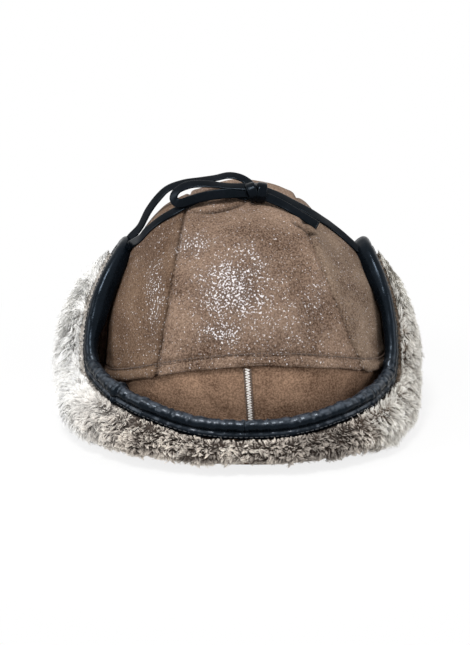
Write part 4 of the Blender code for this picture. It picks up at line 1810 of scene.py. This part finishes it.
@dataclass
class BandRoot:
    """The part of the band between the crown's hem and the fold, with its zigzag seam and wool."""

    hat: HatShape
    band: BandShape
    wardrobe: Wardrobe
    columns: int = 170
    rows: int = 26
    tuck: float = 0.0006
    inset: float = 0.0004
    trench: float = 0.0024
    trench_lap: float = 0.0024
    trench_sag: float = 0.0002
    facing_up: float = 0.02
    ripples: Layers = ((0.0007, 0.016, 41), (0.0003, 0.006, 43))
    ripple_sink: float = 0.0006
    seam_top: float = 0.0012
    seam_foot: float = 0.0050
    seam_reach: float = 0.020
    seam_proud: float = 0.0002
    seam_bottom: float = 0.010
    zigzag_step: float = 0.0008
    zigzag_half_width: float = 0.0012
    zigzag_spacing: float = 0.0005
    thread_radius: float = 0.00036
    shadow_half_width: float = 0.0019
    shadow_radius: float = 0.0005
    pile_depth: float = 0.0125
    pile_rows: int = 18
    pile_foot: float = 0.0016
    pile_floor: float = 0.0008
    pile_round: float = 0.002
    pile_round_share: float = 3.0
    pile_round_start: float = 0.1
    pile_curls: Layers = ((0.0011, 0.006, 47),)
    pile_sink: float = 0.0008
    pile_thickness: float = 0.0075

    def build(self) -> None:
        """Builds and dresses both halves, the seams with their painted shadow threads, and the wool."""
        for side in Side:
            middle = math.pi if side is Side.LEFT else 0.0
            angles = middle + np.linspace(-QUARTER_TURN, QUARTER_TURN, self.columns)
            skin = self.skin("band_root_" + side.word + "_leather", angles)
            self.wardrobe.dress(skin, "band_suede", Slot.BAND, ("band_root_skin_" + side.word,), "crown")
            wool = self.wool("band_root_" + side.word + "_wool", angles)
            self.wardrobe.dress(wool, "wool_pile", Slot.PILE, ("band_root_pile_" + side.word,), "crown")
        for end in End:
            self.wardrobe.dress(self.zigzag(end), "white_thread", Slot.BAND, body="crown")
            # dark brown threads beside each zigzag are painted shade along the seam
            for side in Side:
                self.wardrobe.dress(self.painted_seam_shadow(end, side), "brown_thread", Slot.BAND, body="crown")

    def lean(self, points: Array) -> Array:
        """The skin moved sideways where its centre seam leans.

        Args:
            points: Points of the skin.

        Returns:
            The moved points.
        """
        moved = points.copy()
        x = points[..., 0] - self.hat.middle[0]
        up = np.clip(points[..., 2] / self.hat.hem_ends[0], 0.0, 1.0)
        shift = self.seam_foot + (self.seam_top - self.seam_foot) * up
        moved[..., 0] += shift * bell(x, 0.0, self.seam_reach) * (points[..., 1] < 0.0)
        return moved

    def skin(self, name: str, angles: Array) -> Piece:
        """A half's leather, from under the hem down into the fold.

        Args:
            name: Name of the piece.
            angles: Angles round the hat.

        Returns:
            The object.
        """
        x, y = self.hat.oval(angles)
        standoff = self.hat.mix(x, y, self.band.standoff_sides, self.band.standoff_ends)
        top = self.hat.hem(angles) + self.tuck
        bend = np.minimum(standoff / 2, FOLD_RADIUS)
        rings = []
        for share in np.linspace(0.0, 1.0, self.rows):
            height = top + (self.trench + bend - top) * share
            rings.append(self.wall(x, y, height, -self.inset))
        for turn in np.linspace(0.0, QUARTER_TURN, FOLD_ROWS)[1:]:
            height = self.trench + bend * (1.0 - math.sin(turn))
            rings.append(self.wall(x, y, height, standoff / 2 * (1.0 - math.cos(turn))))
        rings.append(self.wall(x, y, np.full_like(x, self.trench), standoff / 2 + self.trench_lap))
        points = self.lean(np.stack(rings, axis=1))
        outward = points.copy()
        outward[..., 2] = self.facing_up
        normals = grid_normals(points, outward)
        points = points + normals * (layered(points, self.ripples) - self.ripple_sink)[..., None]
        points[..., 2] = np.maximum(points[..., 2], self.trench - self.trench_sag)
        return sheet_object(name, points, normals, BAND_SKIN)

    def wall(self, x: Array, y: Array, height: Array, outside: Array | float) -> Array:
        """Points on the crown's wall.

        Args:
            x: Points' x on the unit oval.
            y: Points' y on the unit oval.
            height: Heights.
            outside: Distances outside the wall.

        Returns:
            Points of the frame.
        """
        share = self.hat.crown_share(height)
        wide = self.hat.half_width * share + outside
        long = self.hat.half_length * share + outside
        return self.hat.placed(x * wide, y * long, height)

    def wool(self, name: str, angles: Array) -> Piece:
        """The wool inside a half.

        Args:
            name: Name of the piece.
            angles: Angles round the hat.

        Returns:
            The object.
        """
        x, y = self.hat.oval(angles)
        rise = self.hat.hem(angles) - self.pile_foot
        rings = []
        for share in np.linspace(0.0, 1.0, self.pile_rows):
            rounded = min(share * self.pile_round_share + self.pile_round_start, 1.0)
            swell = self.pile_round * math.sin(math.pi * rounded) - self.pile_round
            rings.append(self.wall(x, y, self.pile_foot + rise * share, -self.pile_depth - swell))
        points = np.stack(rings, axis=1)
        inward = self.hat.placed(0.0, 0.0, 0.0) - points
        inward[..., 2] = 0.0
        normals = grid_normals(points, inward)
        points = points + normals * (layered(points, self.pile_curls) - self.pile_sink)[..., None]
        points[..., 2] = np.maximum(points[..., 2], self.pile_floor)
        return sheet_object(name, points, normals, self.pile_thickness)

    def zigzag(self, end: End) -> Piece:
        """The zigzag thread that joins the halves at one end.

        Args:
            end: The end.

        Returns:
            The object.
        """
        line = self.seam_line(end)
        line[::2, 0] -= self.zigzag_half_width
        line[1::2, 0] += self.zigzag_half_width
        return tube(end.word + "_zigzag_seam", smooth_route(line, self.zigzag_spacing), self.thread_radius)

    def painted_seam_shadow(self, end: End, side: Side) -> Piece:
        """A dark brown thread along one side's edge of an end's zigzag, put there as painted shade beside the
        seam.
        """
        line = self.seam_line(end) + np.array((side.value * self.shadow_half_width, 0.0, 0.0))
        return tube(end.word + "_" + side.word + "_painted_seam_shadow", line, self.shadow_radius)

    def seam_line(self, end: End) -> Array:
        """Points down the middle of a centre seam, one for each stitch.

        Args:
            end: The seam's end of the hat.

        Returns:
            The points.
        """
        angle = np.array([end.value * QUARTER_TURN])
        x, y = self.hat.oval(angle)
        top = float(self.hat.hem(angle)[0]) - self.tuck
        heights = np.arange(top, self.seam_bottom, -self.zigzag_step)
        return self.lean(self.wall(x, y, heights, self.seam_proud))


# Turned-up band


@dataclass
class TurnedBand:
    """The turned-up band: its leather side, fur, hairs and bound edge, in eight stretches."""

    hat: HatShape
    band: BandShape
    wardrobe: Wardrobe
    fur: Fur
    first_seed: int = 100
    skin_rows: int = 26
    pelt_rows: int = 30
    pelt_back_rows: int = 8
    pelt_share: float = 0.74
    pelt_swells: Layers = ((0.0012, 0.011, 61), (0.0008, 0.005, 63))
    pelt_ends: Pair = (0.02, 0.98)
    pelt_heart: float = 0.03
    fur_profile: tuple[Pair, ...] = (
        (0.0, 0.04), (0.12, 0.42), (0.30, 0.86), (0.55, 0.90), (0.80, 0.64), (1.0, 0.26),
    )
    profile_ends: Pair = (-0.3, 1.3)
    profile_points: int = 321
    profile_softness: int = 16
    floor: float = 0.0006
    brow_lift: float = 0.0060
    trench: float = 0.0030
    lean_gap: float = 0.0012
    lean_heights: Pair = (0.045, 0.080)
    lean_shares: Pair = (1.0, 0.86)
    ripples: Layers = ((0.0005, 0.018, 51),)
    ripple_lift: float = 0.0005
    slot_gap: float = 0.0009
    roll_points: int = 15
    inner_leg: float = 0.0038
    inner_section: tuple[Section, ...] = ((0.86, 1.0, -0.6, -0.2), (0.97, 0.4, -1.0, 0.0))
    groove_section: tuple[Section, ...] = (
        (0.94, -0.0002, 1.0, -0.2), (0.80, -0.0010, 0.7, -0.5), (0.62, -0.0016, 0.2, 0.0),
    )
    flange_proud: float = 0.0038
    flange_section: tuple[Section, ...] = (
        (0.80, -0.0021, 0.8, 0.4), (0.98, -0.0029, 1.0, 0.1), (1.06, -0.0039, 1.0, 0.0),
        (1.05, -0.0050, 1.0, -0.1),
    )
    flange_foot: float = 0.92
    flange_edge: float = 0.0004
    reach_share: float = 0.88
    reach_heights: Pair = (0.050, 0.078)
    tip_reach: Pair = (0.0018, 0.0034)
    tip_heights: Pair = (0.070, 0.100)
    puckers: tuple[Section, ...] = ((0.00010, 0.00042, 0.0021, 81), (0.00020, 0.00025, 0.0065, 83))
    pucker_step: float = 0.0003
    pucker_heights: Pair = (0.030, 0.065)
    lap_place: Point = (-0.0713, -0.0895, 0.0374)
    lap_length: float = 0.0034
    lap_height: float = 0.0016
    lap_start: float = 0.0003
    lap_stop: float = 0.0008
    stitch_place: Pair = (0.0040, -0.0042)
    stitch_sizes: tuple[float, float, float] = (0.0030, 0.0021, 0.00035)
    ear_still: float = 0.062
    ear_free: float = 0.025
    end_still: float = 0.066
    end_free: float = 0.030

    def build(self) -> None:
        """Builds and dresses every stretch."""
        seed = self.first_seed
        for end, side in product(End, Side):
            stations, corner = quarter_stations(self.band, side, end)
            grids = {
                "leather": self.skin_grid(stations),
                "pelt": self.pelt_grid(stations),
                "binding": self.binding_grid(stations),
                "stitches": self.stitch_line(stations),
            }
            grids["hairs"], grids["normals"] = self.fur_surface(stations)
            for ear, part in ((True, slice(1, corner + 1)), (False, slice(corner, len(stations.start) - 1))):
                self.stretch({name: grid[part] for name, grid in grids.items()}, side, end, ear, seed)
                seed += 1

    def stretch(self, grids: dict[str, Array], side: Side, end: End, ear: bool, seed: int) -> None:
        """Builds and dresses one stretch.

        Args:
            grids: Grids of its layers.
            side: Its side.
            end: Its end.
            ear: Whether it belongs to the ear flap, or else to the end flap.
            seed: Number that picks its hairs.
        """
        name = side.word + "_ear_" + end.word + "_side" if ear else end.word + "_" + side.word
        corner = end.word + "_" + side.word + "_corner_"
        flap = side.word + "_ear_" if ear else end.word + "_"
        skin_node = flap + "skin" if ear else flap + "skin_" + side.word
        inward = np.array((-side.value, 0.0, 0.0) if ear else (0.0, -end.value, 0.0))
        skin = sheet_object(name + "_leather", grids["leather"], inward, BAND_SKIN)
        pelt = swept_object(name + "_pelt", grids["pelt"])
        store_tint(pelt, self.fur.pelt_tint(grids["pelt"].reshape(-1, 3)))
        hairs = self.fur.hairs(name + "_hairs", grids["hairs"], grids["normals"], seed)
        binding = swept_object(name + "_binding", grids["binding"])
        stitches = stitch_row(name + "_stitches", grids["stitches"], *self.stitch_sizes)
        for piece, finish, slot, nodes in (
            (skin, "band_suede", Slot.BAND, (skin_node, corner + "skin")),
            (pelt, "fur_pelt", Slot.FUR, (flap + "fur", corner + "fur")),
            (hairs, "fur_hair", Slot.FUR, ()),
            (binding, "black_binding_leather", Slot.BLACK, (flap + "binding", corner + "binding")),
            (stitches, "black_thread", Slot.BLACK, ()),
        ):
            self.wardrobe.dress(piece, finish, slot, nodes)
            self.bend(piece, side, end, ear)

    def bend(self, piece: Piece, side: Side, end: End, ear: bool) -> None:
        """Bakes a piece's placement into its mesh, the same for both kinds of stretch.

        Args:
            piece: The piece.
            side: Its side; not used.
            end: Its end; not used.
            ear: Whether it belongs to the ear flap, or else to the end flap.
        """
        if ear:
            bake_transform(piece)
        else:
            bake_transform(piece)

    def skin_grid(self, stations: Stations) -> Array:
        """The band's leather side, from the fold up to the free edge.

        Args:
            stations: The quarter's stations.

        Returns:
            Grid of points.
        """
        bend = np.minimum(stations.standoff / 2, FOLD_RADIUS)
        rings = []
        for turn in np.linspace(QUARTER_TURN, 0.0, FOLD_ROWS):
            height = self.trench + bend * (1.0 - math.sin(turn))
            rings.append(stations.points(height, -stations.standoff / 2 * (1.0 - math.cos(turn))))
        low = self.trench + bend
        for share in np.linspace(0.0, 1.0, self.skin_rows)[1:]:
            height = low + (stations.edge - low) * share
            lean = stations.across * ease(height, *self.lean_heights) * ease(share, *self.lean_shares)
            rings.append(stations.points(height, -lean * (stations.standoff_at(height) - self.lean_gap)))
        points = np.stack(rings, axis=1)
        outward = points - self.hat.placed(0.0, 0.0, 0.0)
        outward[..., 2] = 0.0
        return points + unit(outward) * (layered(points, self.ripples) + self.ripple_lift)[..., None]

    def depth_shares(self, ups: Array) -> Array:
        """Shares of the fur's depth, smoothed.

        Args:
            ups: Shares of the flap's height.

        Returns:
            One share for each.
        """
        fine = np.linspace(*self.profile_ends, self.profile_points)
        raw = np.interp(fine, *np.array(self.fur_profile).T)
        kernel = np.hanning(2 * self.profile_softness + 1)
        padded = np.pad(raw, self.profile_softness, mode="edge")
        return np.interp(ups, fine, np.convolve(padded, kernel / kernel.sum(), mode="valid"))

    def fur_heights(self, stations: Stations, shares: Array) -> list[Array]:
        """Heights of the fur from its foot, which is lifted at the brow, to the flange.

        Args:
            stations: The quarter's stations.
            shares: Shares of the way up.

        Returns:
            For each share the heights at the stations.
        """
        front = stations.direction[:, 1] < 0.0
        feet = self.floor + self.brow_lift * (1.0 - stations.across) * front
        tops = stations.under_edge(self.band.flange + self.band.flange_gap)
        return [feet + (tops - feet) * share for share in shares]

    def fur_surface(self, stations: Stations) -> tuple[Array, Array]:
        """Outside of the pelt that the hairs root on.

        Args:
            stations: The quarter's stations.

        Returns:
            Grid of points from the floor up, and its normals.
        """
        ups = np.linspace(0.0, 1.0, self.pelt_rows)
        layers = zip(self.fur_heights(stations, ups), self.depth_shares(ups))
        points = np.stack([
            stations.points(height, self.band.fur_inside + stations.fur * depth * self.pelt_share)
            for height, depth in layers
        ], axis=1)
        normals = grid_normals(points, points - self.hat.placed(0.0, 0.0, self.pelt_heart))
        edge = np.sqrt(np.sin(math.pi * np.clip(ups, *self.pelt_ends)))[None, :]
        points = points + normals * (layered(points, self.pelt_swells) * edge)[..., None]
        points[..., 2] = np.maximum(points[..., 2], self.floor)
        return points, normals

    def pelt_grid(self, stations: Stations) -> Array:
        """The pelt's closed sections.

        Args:
            stations: The quarter's stations.

        Returns:
            Grid of points.
        """
        heights = self.fur_heights(stations, np.linspace(1.0, 0.0, self.pelt_back_rows))
        back = np.stack([stations.points(height, self.band.fur_inside) for height in heights], axis=1)
        return np.concatenate((self.fur_surface(stations)[0], back), axis=1)

    def binding_grid(self, stations: Stations) -> Array:
        """The binding's closed sections, with its puckers.

        Args:
            stations: The quarter's stations.

        Returns:
            Grid of points.
        """
        place, _, outward, off_edge = stations.edge_frames()
        outline = np.array(self.binding_outline())
        run = travel(place)
        near = stations.standoff_at(stations.edge) + self.hat.leather / 2 - self.band.roll_radius
        reach = np.maximum(near * self.reach_share - self.lean_gap, 0.0)
        reach = reach * ease(stations.edge, *self.reach_heights)
        dented = np.where(stations.start[:, 0] + stations.direction[:, 0] < 0, *self.tip_reach)
        reach = reach + dented * ease(stations.edge, *self.tip_heights)
        lap = self.lap(stations, run)
        rings = []
        for across, up, push_across, push_up in outline:
            inside = max(-across, 0.0) / self.band.roll_radius
            section = outward * (across - reach * inside + lap * push_across)[:, None]
            rings.append(place + section + off_edge * (up + lap * push_up)[:, None])
        points = np.stack(rings, axis=1)
        ways = outward[:, None, :] * outline[None, :, 2:3] + off_edge[:, None, :] * outline[None, :, 3:]
        folded = np.zeros(points.shape)
        folded[..., 0] = run[:, None]
        folded[..., 1] = np.arange(len(outline)) * self.pucker_step
        low = 1.0 - ease(stations.edge, *self.pucker_heights)[:, None]
        pucker = np.zeros(points.shape[:2])
        for everywhere, below, size, seed in self.puckers:
            pucker += (everywhere + below * low) * lumps(folded, size, seed)
        return points + ways * pucker[..., None]

    def stitch_line(self, stations: Stations) -> Array:
        """Points along the flange, where its stitches lie."""
        place, _, outward, off_edge = stations.edge_frames()
        return place + outward * self.stitch_place[0] + off_edge * self.stitch_place[1]

    def lap(self, stations: Stations, run: Array) -> Array:
        """How much thicker the binding is where its ends lap over each other.

        Args:
            stations: The quarter's stations.
            run: Distances along the binding.

        Returns:
            Heights of the lap, one for each station.
        """
        far = np.linalg.norm(stations.points(stations.edge, 0.0) - np.array(self.lap_place), axis=1)
        if far.min() > self.lap_length:
            return np.zeros_like(run)
        past = run - run[np.argmin(far)]
        risen = self.lap_height * ease(past, -self.lap_start, self.lap_start)
        return risen * ease(past, self.lap_length, self.lap_length - self.lap_stop)

    def binding_outline(self) -> list[Section]:
        """Section of the binding and the directions off its surface.

        Returns:
            Across, off the edge, and the direction's two parts, point by point.
        """
        slot = self.hat.leather / 2 + self.slot_gap
        radius, proud, leg, gap = self.band.roll_radius, self.flange_proud, self.inner_leg, self.slot_gap
        foot = -self.band.flange - self.flange_edge
        outline = [(-slot, -leg, 0.0, 0.0)]
        outline += [(-radius * share, -leg * drop, *push) for share, drop, *push in self.inner_section]
        for turn in np.linspace(math.pi, 0.0, self.roll_points):
            across, up = math.cos(turn), math.sin(turn)
            outline.append((radius * across, gap + radius * up, across, up))
        outline += [(radius * share, *rest) for share, *rest in self.groove_section]
        outline += [(proud * share, *rest) for share, *rest in self.flange_section]
        return outline + [
            (proud * self.flange_foot, foot, 0.8, -0.4), (slot + self.flange_edge, foot, 0.0, -0.4),
            (slot, -self.band.flange / 2, 0.0, 0.0), (slot, gap, 0.0, 0.0), (-slot, gap, 0.0, 0.0),
        ]


# Laces


LEFT_LOWER_ROUTE = (
    (-0.0746, -0.0108, 0.1097), (-0.0705, -0.0180, 0.1134), (-0.0660, -0.0245, 0.1177),
    (-0.0618, -0.0262, 0.1228), (-0.0533, -0.0278, 0.1299), (-0.0453, -0.0272, 0.1345),
    (-0.0350, -0.0236, 0.1396), (-0.0258, -0.0213, 0.1435), (-0.0170, -0.0212, 0.1457),
    (-0.0085, -0.0236, 0.1455), (0.0004, -0.0268, 0.1439),
)
LEFT_UPPER_ROUTE = (
    (-0.0747, -0.0010, 0.1130), (-0.0684, -0.0040, 0.1203), (-0.0626, -0.0080, 0.1313),
    (-0.0564, -0.0110, 0.1400), (-0.0491, -0.0130, 0.1471), (-0.0395, -0.0145, 0.1508),
    (-0.0285, -0.0155, 0.1527), (-0.0190, -0.0160, 0.1543), (-0.0108, -0.0165, 0.1561),
    (-0.0044, -0.0175, 0.1554), (0.0006, -0.0188, 0.1532), (0.0039, -0.0213, 0.1508),
)
LOOP_ROUTE = (
    (0.0008, -0.0285, 0.1472), (-0.0063, -0.0285, 0.1469), (-0.0144, -0.0286, 0.1464),
    (-0.0220, -0.0278, 0.1452), (-0.0284, -0.0273, 0.1438), (-0.0346, -0.0276, 0.1420),
    (-0.0397, -0.0274, 0.1403), (-0.0433, -0.0260, 0.1406), (-0.0450, -0.0248, 0.1430),
    (-0.0439, -0.0240, 0.1462), (-0.0405, -0.0238, 0.1492), (-0.0347, -0.0240, 0.1514),
    (-0.0283, -0.0242, 0.1520), (-0.0214, -0.0244, 0.1517), (-0.0144, -0.0248, 0.1510),
    (-0.0075, -0.0256, 0.1506), (0.0008, -0.0268, 0.1506),
)
RIGHT_ROUTE = (
    (0.0131, -0.0246, 0.1478), (0.0220, -0.0230, 0.1441), (0.0284, -0.0229, 0.1407),
    (0.0348, -0.0220, 0.1371), (0.0413, -0.0195, 0.1331), (0.0479, -0.0155, 0.1284),
    (0.0549, -0.0105, 0.1229), (0.0616, -0.0082, 0.1172), (0.0682, -0.0088, 0.1114),
    (0.0725, -0.0102, 0.1077),
)
TAIL_ROUTE = (
    (0.0127, -0.0306, 0.1450), (0.0180, -0.0310, 0.1428), (0.0245, -0.0322, 0.1399),
    (0.0310, -0.0344, 0.1364), (0.0380, -0.0352, 0.1322), (0.0455, -0.0354, 0.1274),
)


@dataclass(frozen=True)
class Lace:
    """A flat leather thong: its route, what it moves with and ends in, and where its flat side looks.

    The lead and the tuck are the steps by which its ends run on, hidden in the binding or the knot.
    """

    name: str
    route: tuple[Point, ...]
    body: str
    far_end: str
    faces: tuple[Point, ...]
    lead: Point
    tuck: Point
    backwards: bool = False


@dataclass
class Laces:
    """The laces of both ear flaps and the bow that ties them."""

    hat: HatShape
    wardrobe: Wardrobe
    width: float = 0.0060
    thickness: float = 0.0014
    spacing: float = 0.0012
    rough_spacing: float = 0.004
    sides: int = 20
    squareness: Pair = (0.45, 0.6)
    first_seed: int = 200
    twist: Pair = (0.16, 0.021)
    uneven_width: tuple[float, float, int] = (0.05, 0.012, 7)
    uneven_thickness: tuple[float, float, int] = (0.08, 0.007, 9)
    knot_place: Point = (0.0058, -0.0285, 0.1478)
    knot_size: Point = (0.0140, 0.0130, 0.0130)
    knot_columns: int = 48
    knot_sides: int = 14
    knot_squareness: Pair = (0.4, 0.6)
    knot_inset: float = 0.12
    knot_thickness: float = 0.11
    knot_turns: tuple[tuple[Point, float, float, float], ...] = (
        ((1.0, 0.10, -0.15), 1.0, 0.0043, 0.0029), ((0.90, 0.10, 0.28), 0.97, -0.0014, 0.0030),
        ((0.30, 1.0, 0.10), 0.80, 0.0, 0.0030),
    )
    laces: tuple[Lace, ...] = (
        Lace(
            "left_lace_lower", LEFT_LOWER_ROUTE, "left_laces", "knot", faces=(
                (-0.75, -0.60, 0.10), (-0.50, -0.55, 0.65), (-0.20, -0.45, 0.85), (0.0, -0.40, 0.90),
            ), lead=(-0.0034, 0.0, -0.0034), tuck=(0.0035, 0.0, 0.0012),
        ),
        Lace(
            "left_lace_upper", LEFT_UPPER_ROUTE, "left_laces", "knot", faces=(
                (-0.60, -0.70, 0.40), (-0.40, -0.70, 0.60), (-0.10, -0.55, 0.80), (0.0, -0.45, 0.90),
                (0.4, -0.60, 0.70),
            ), lead=(-0.0030, 0.0, -0.0036), tuck=(0.0015, -0.0030, -0.0020),
        ),
        Lace(
            "bow_loop", LOOP_ROUTE, "left_laces", "object", faces=(
                (0.0, -0.90, 0.30), (0.0, -0.90, 0.40), (0.0, -1.0, 0.30), (0.0, -1.0, 0.10),
                (-0.20, -1.0, 0.0), (-1.0, -0.40, 0.10), (-0.50, -0.45, 0.80), (0.0, -0.55, 0.85),
                (0.0, -0.50, 0.85), (0.0, -0.50, 0.85),
            ), lead=(0.0040, 0.0, 0.0), tuck=(0.0040, 0.0, -0.0008),
        ),
        Lace(
            "right_lace", RIGHT_ROUTE, "right_laces", "knot",
            faces=((0.55, -0.55, 0.60), (0.30, -0.60, 0.75)),
            lead=(0.0040, 0.0, -0.0026), tuck=(-0.0035, -0.0008, 0.0006), backwards=True,
        ),
        Lace(
            "bow_tail", TAIL_ROUTE, "right_laces", "bare",
            faces=((0.20, -0.70, 0.70), (0.35, -0.85, 0.45)),
            lead=(-0.0040, 0.0, 0.0008), tuck=(0.0, 0.0, 0.0),
        ),
    )

    def line(self, lace: Lace, spacing: float) -> Array:
        """Points along a lace, in the frame, from where it leaves the hat."""
        points = smooth_route(lace.route, spacing) + np.array((*self.hat.middle, 0.0))
        return points[::-1] if lace.backwards else points

    def all_points(self) -> Array:
        """Points along all laces."""
        return np.vstack([self.line(lace, self.rough_spacing) for lace in self.laces])

    def build(self) -> None:
        """Builds and dresses the laces and the knot."""
        for number, lace in enumerate(self.laces):
            points = self.line(lace, self.spacing)
            drawn = [points]
            if any(lace.lead):
                drawn.insert(0, points[:1] + np.array(lace.lead))
            if any(lace.tuck):
                drawn.append(points[-1:] + np.array(lace.tuck))
            sections = self.sections(np.vstack(drawn), lace.faces, self.first_seed + number)
            piece = swept_object(lace.name + "_thong", sections)
            self.wardrobe.dress(piece, "black_thong_leather", Slot.BLACK, (lace.name,), lace.body)
        self.knot()

    def sections(self, points: Array, faces: Sequence[Point], seed: int) -> Array:
        """Sections of a thong along a line.

        Args:
            points: The line.
            faces: Directions that its flat side looks in, evenly spread along it.
            seed: Number that picks its unevenness.

        Returns:
            Grid of points.
        """
        along = unit(np.gradient(points, axis=0))
        share, marks = np.linspace(0.0, 1.0, len(points)), np.linspace(0.0, 1.0, len(faces))
        across = unit(np.cross(along, resample(np.array(faces), marks, share)))
        over = np.cross(across, along)
        run = np.column_stack((np.arange(len(points)) * self.spacing, np.zeros((len(points), 2))))
        turn = (self.twist[0] * lumps(run, self.twist[1], seed))[:, None]
        cosine, sine = np.cos(turn), np.sin(turn)
        across, over = across * cosine + over * sine, over * cosine - across * sine
        half = []
        for size, (uneven, step, further) in (
            (self.width, self.uneven_width), (self.thickness, self.uneven_thickness),
        ):
            half.append((size / 2 * (1.0 + uneven * lumps(run, step, seed + further)))[:, None])
        rings = []
        for angle in turns(self.sides):
            wide = half[0] * squared(math.cos(angle), self.squareness[0])
            thick = half[1] * squared(math.sin(angle), self.squareness[1])
            rings.append(points + across * wide + over * thick)
        return np.stack(rings, axis=1)

    def knot(self) -> None:
        """The bow's knot: turns of thong drawn tight over each other."""
        centre = np.array(self.knot_place) + np.array((*self.hat.middle, 0.0))
        angles = turns(self.knot_columns)[:, None]
        parts = []
        for direction, size, shift, half_width in self.knot_turns:
            axis = unit(np.array(direction))
            first = unit(np.cross(axis, UP))
            ring = first * np.cos(angles) + np.cross(axis, first) * np.sin(angles)
            rings = []
            for turn in turns(self.knot_sides):
                along = squared(math.cos(turn), self.knot_squareness[0]) * half_width
                rise = self.knot_thickness * squared(math.sin(turn), self.knot_squareness[1])
                out = ring * (np.array(self.knot_size) / 2) * (size - self.knot_inset + rise)
                rings.append(centre + out + axis * (along + shift))
            parts.append(np.stack(rings, axis=1))
        one = grid_quads(self.knot_columns, self.knot_sides, wrap_columns=True, wrap_rows=True)
        starts = np.arange(len(parts)) * self.knot_columns * self.knot_sides
        quads = (one[None] + starts[:, None, None]).reshape(-1, 4)
        piece = make_object("bow_knot_turns", np.stack(parts), quads, closed=True)
        self.wardrobe.dress(piece, "black_thong_leather", Slot.BLACK, ("bow_knot",), "right_laces")


# Studio


@dataclass
class Studio:
    """Floor, light and camera."""

    target: Point = (0.005, 0.001, 0.07)
    distance: float = 0.8
    elevation: float = math.radians(15)
    metres_per_pixel: float = 0.000665
    image: tuple[int, int] = (470, 645)
    middle_pixel: Pair = (245.0, 300.0)
    sensor: float = 36.0
    white: tuple[float, ...] = (1.0, 1.0, 1.0, 1.0)
    floor_grey: tuple[float, ...] = (0.86, 0.86, 0.86, 1.0)
    floor_half: float = 6.0
    shadow_reach: Pair = (0.14, 0.32)
    shadow_glow: Pair = (0.82, 1.0)
    world_light: Pair = (0.42, 1.0)
    lamps: tuple[tuple[str, Point, float, float], ...] = (
        ("key_softbox", (-0.25, -0.75, 1.55), 0.36, 19.0),
        ("left_softbox", (-1.5, -0.6, 0.8), 0.8, 12.0),
        ("right_softbox", (1.5, -0.5, 0.8), 0.8, 9.0),
    )

    def build(self) -> None:
        """Builds the studio."""
        bpy.context.scene.view_settings.view_transform = "Standard"
        self.floor()
        self.world()
        for lamp in self.lamps:
            self.lamp(*lamp)
        self.camera()

    def floor(self) -> None:
        """A white floor that keeps a soft shadow of the hat."""
        mesh = bpy.data.meshes.new("floor")
        shape = bmesh.new()
        bmesh.ops.create_grid(shape, x_segments=2, y_segments=2, size=self.floor_half)
        shape.to_mesh(mesh)
        shape.free()
        material = bpy.data.materials.new("white_floor")
        material.use_nodes = True
        tree = material.node_tree
        tree.nodes.remove(tree.nodes["Principled BSDF"])
        board = NodeBoard(tree)
        matte = board.add("BsdfDiffuse", {"Color": self.floor_grey}).outputs[0]
        glow = board.add("Emission", {"Color": self.white, "Strength": 1.0}).outputs[0]
        place = board.add("NewGeometry").outputs["Position"]
        far = board.add("VectorMath", {0: place}, operation="LENGTH").outputs["Value"]
        share = board.times(board.seen(), board.step(far, *self.shadow_reach, *self.shadow_glow))
        mixed = board.add("MixShader", {0: share, 1: matte, 2: glow}).outputs[0]
        board.feed(tree.nodes["Material Output"], {"Surface": mixed})
        mesh.materials.append(material)
        add_object("floor", mesh)

    def world(self) -> None:
        """White surroundings: full white where they are seen, softer as light."""
        world = bpy.data.worlds.new("studio")
        bpy.context.scene.world = world
        world.use_nodes = True
        board = NodeBoard(world.node_tree)
        strength = board.step(board.seen(), 0.0, 1.0, *self.world_light)
        board.feed(world.node_tree.nodes["Background"], {"Color": self.white, "Strength": strength})

    def lamp(self, name: str, place: Point, size: float, power: float) -> None:
        """A square soft lamp that faces the hat.

        Args:
            name: The lamp's name.
            place: Where it hangs.
            size: Length of its sides.
            power: Its power in watts.
        """
        light = bpy.data.lights.new(name, "AREA")
        light.size = size
        light.energy = power
        lamp = add_object(name, light)
        lamp.location = place
        lamp.rotation_euler = (Vector(self.target) - Vector(place)).to_track_quat("-Z", "Y").to_euler()

    def camera(self) -> None:
        """The camera at the photograph's angle and framing."""
        data = bpy.data.cameras.new("camera")
        data.sensor_width = self.sensor
        long_side = max(self.image)
        data.lens = self.distance / self.metres_per_pixel / long_side * self.sensor
        data.shift_x = (self.image[0] / 2 - self.middle_pixel[0]) / long_side
        data.shift_y = (self.middle_pixel[1] - self.image[1] / 2) / long_side
        camera = add_object("camera", data)
        back = Vector((0.0, -math.cos(self.elevation), math.sin(self.elevation)))
        camera.location = Vector(self.target) + back * self.distance
        camera.rotation_euler = (QUARTER_TURN - self.elevation, 0.0, 0.0)
        bpy.context.scene.camera = camera


def main() -> None:
    """Builds the hat and its studio."""
    logging.basicConfig(level=logging.INFO, format="%(name)s: %(message)s")
    hat = HatShape()
    band = BandShape(hat)
    wardrobe = Wardrobe()
    Studio().build()
    laces = Laces(hat, wardrobe)
    laces.build()
    Crown(hat, wardrobe, laces.all_points()).build()
    BandRoot(hat, band, wardrobe).build()
    TurnedBand(hat, band, wardrobe, Fur(hat)).build()


if __name__ == "__main__":
    main()
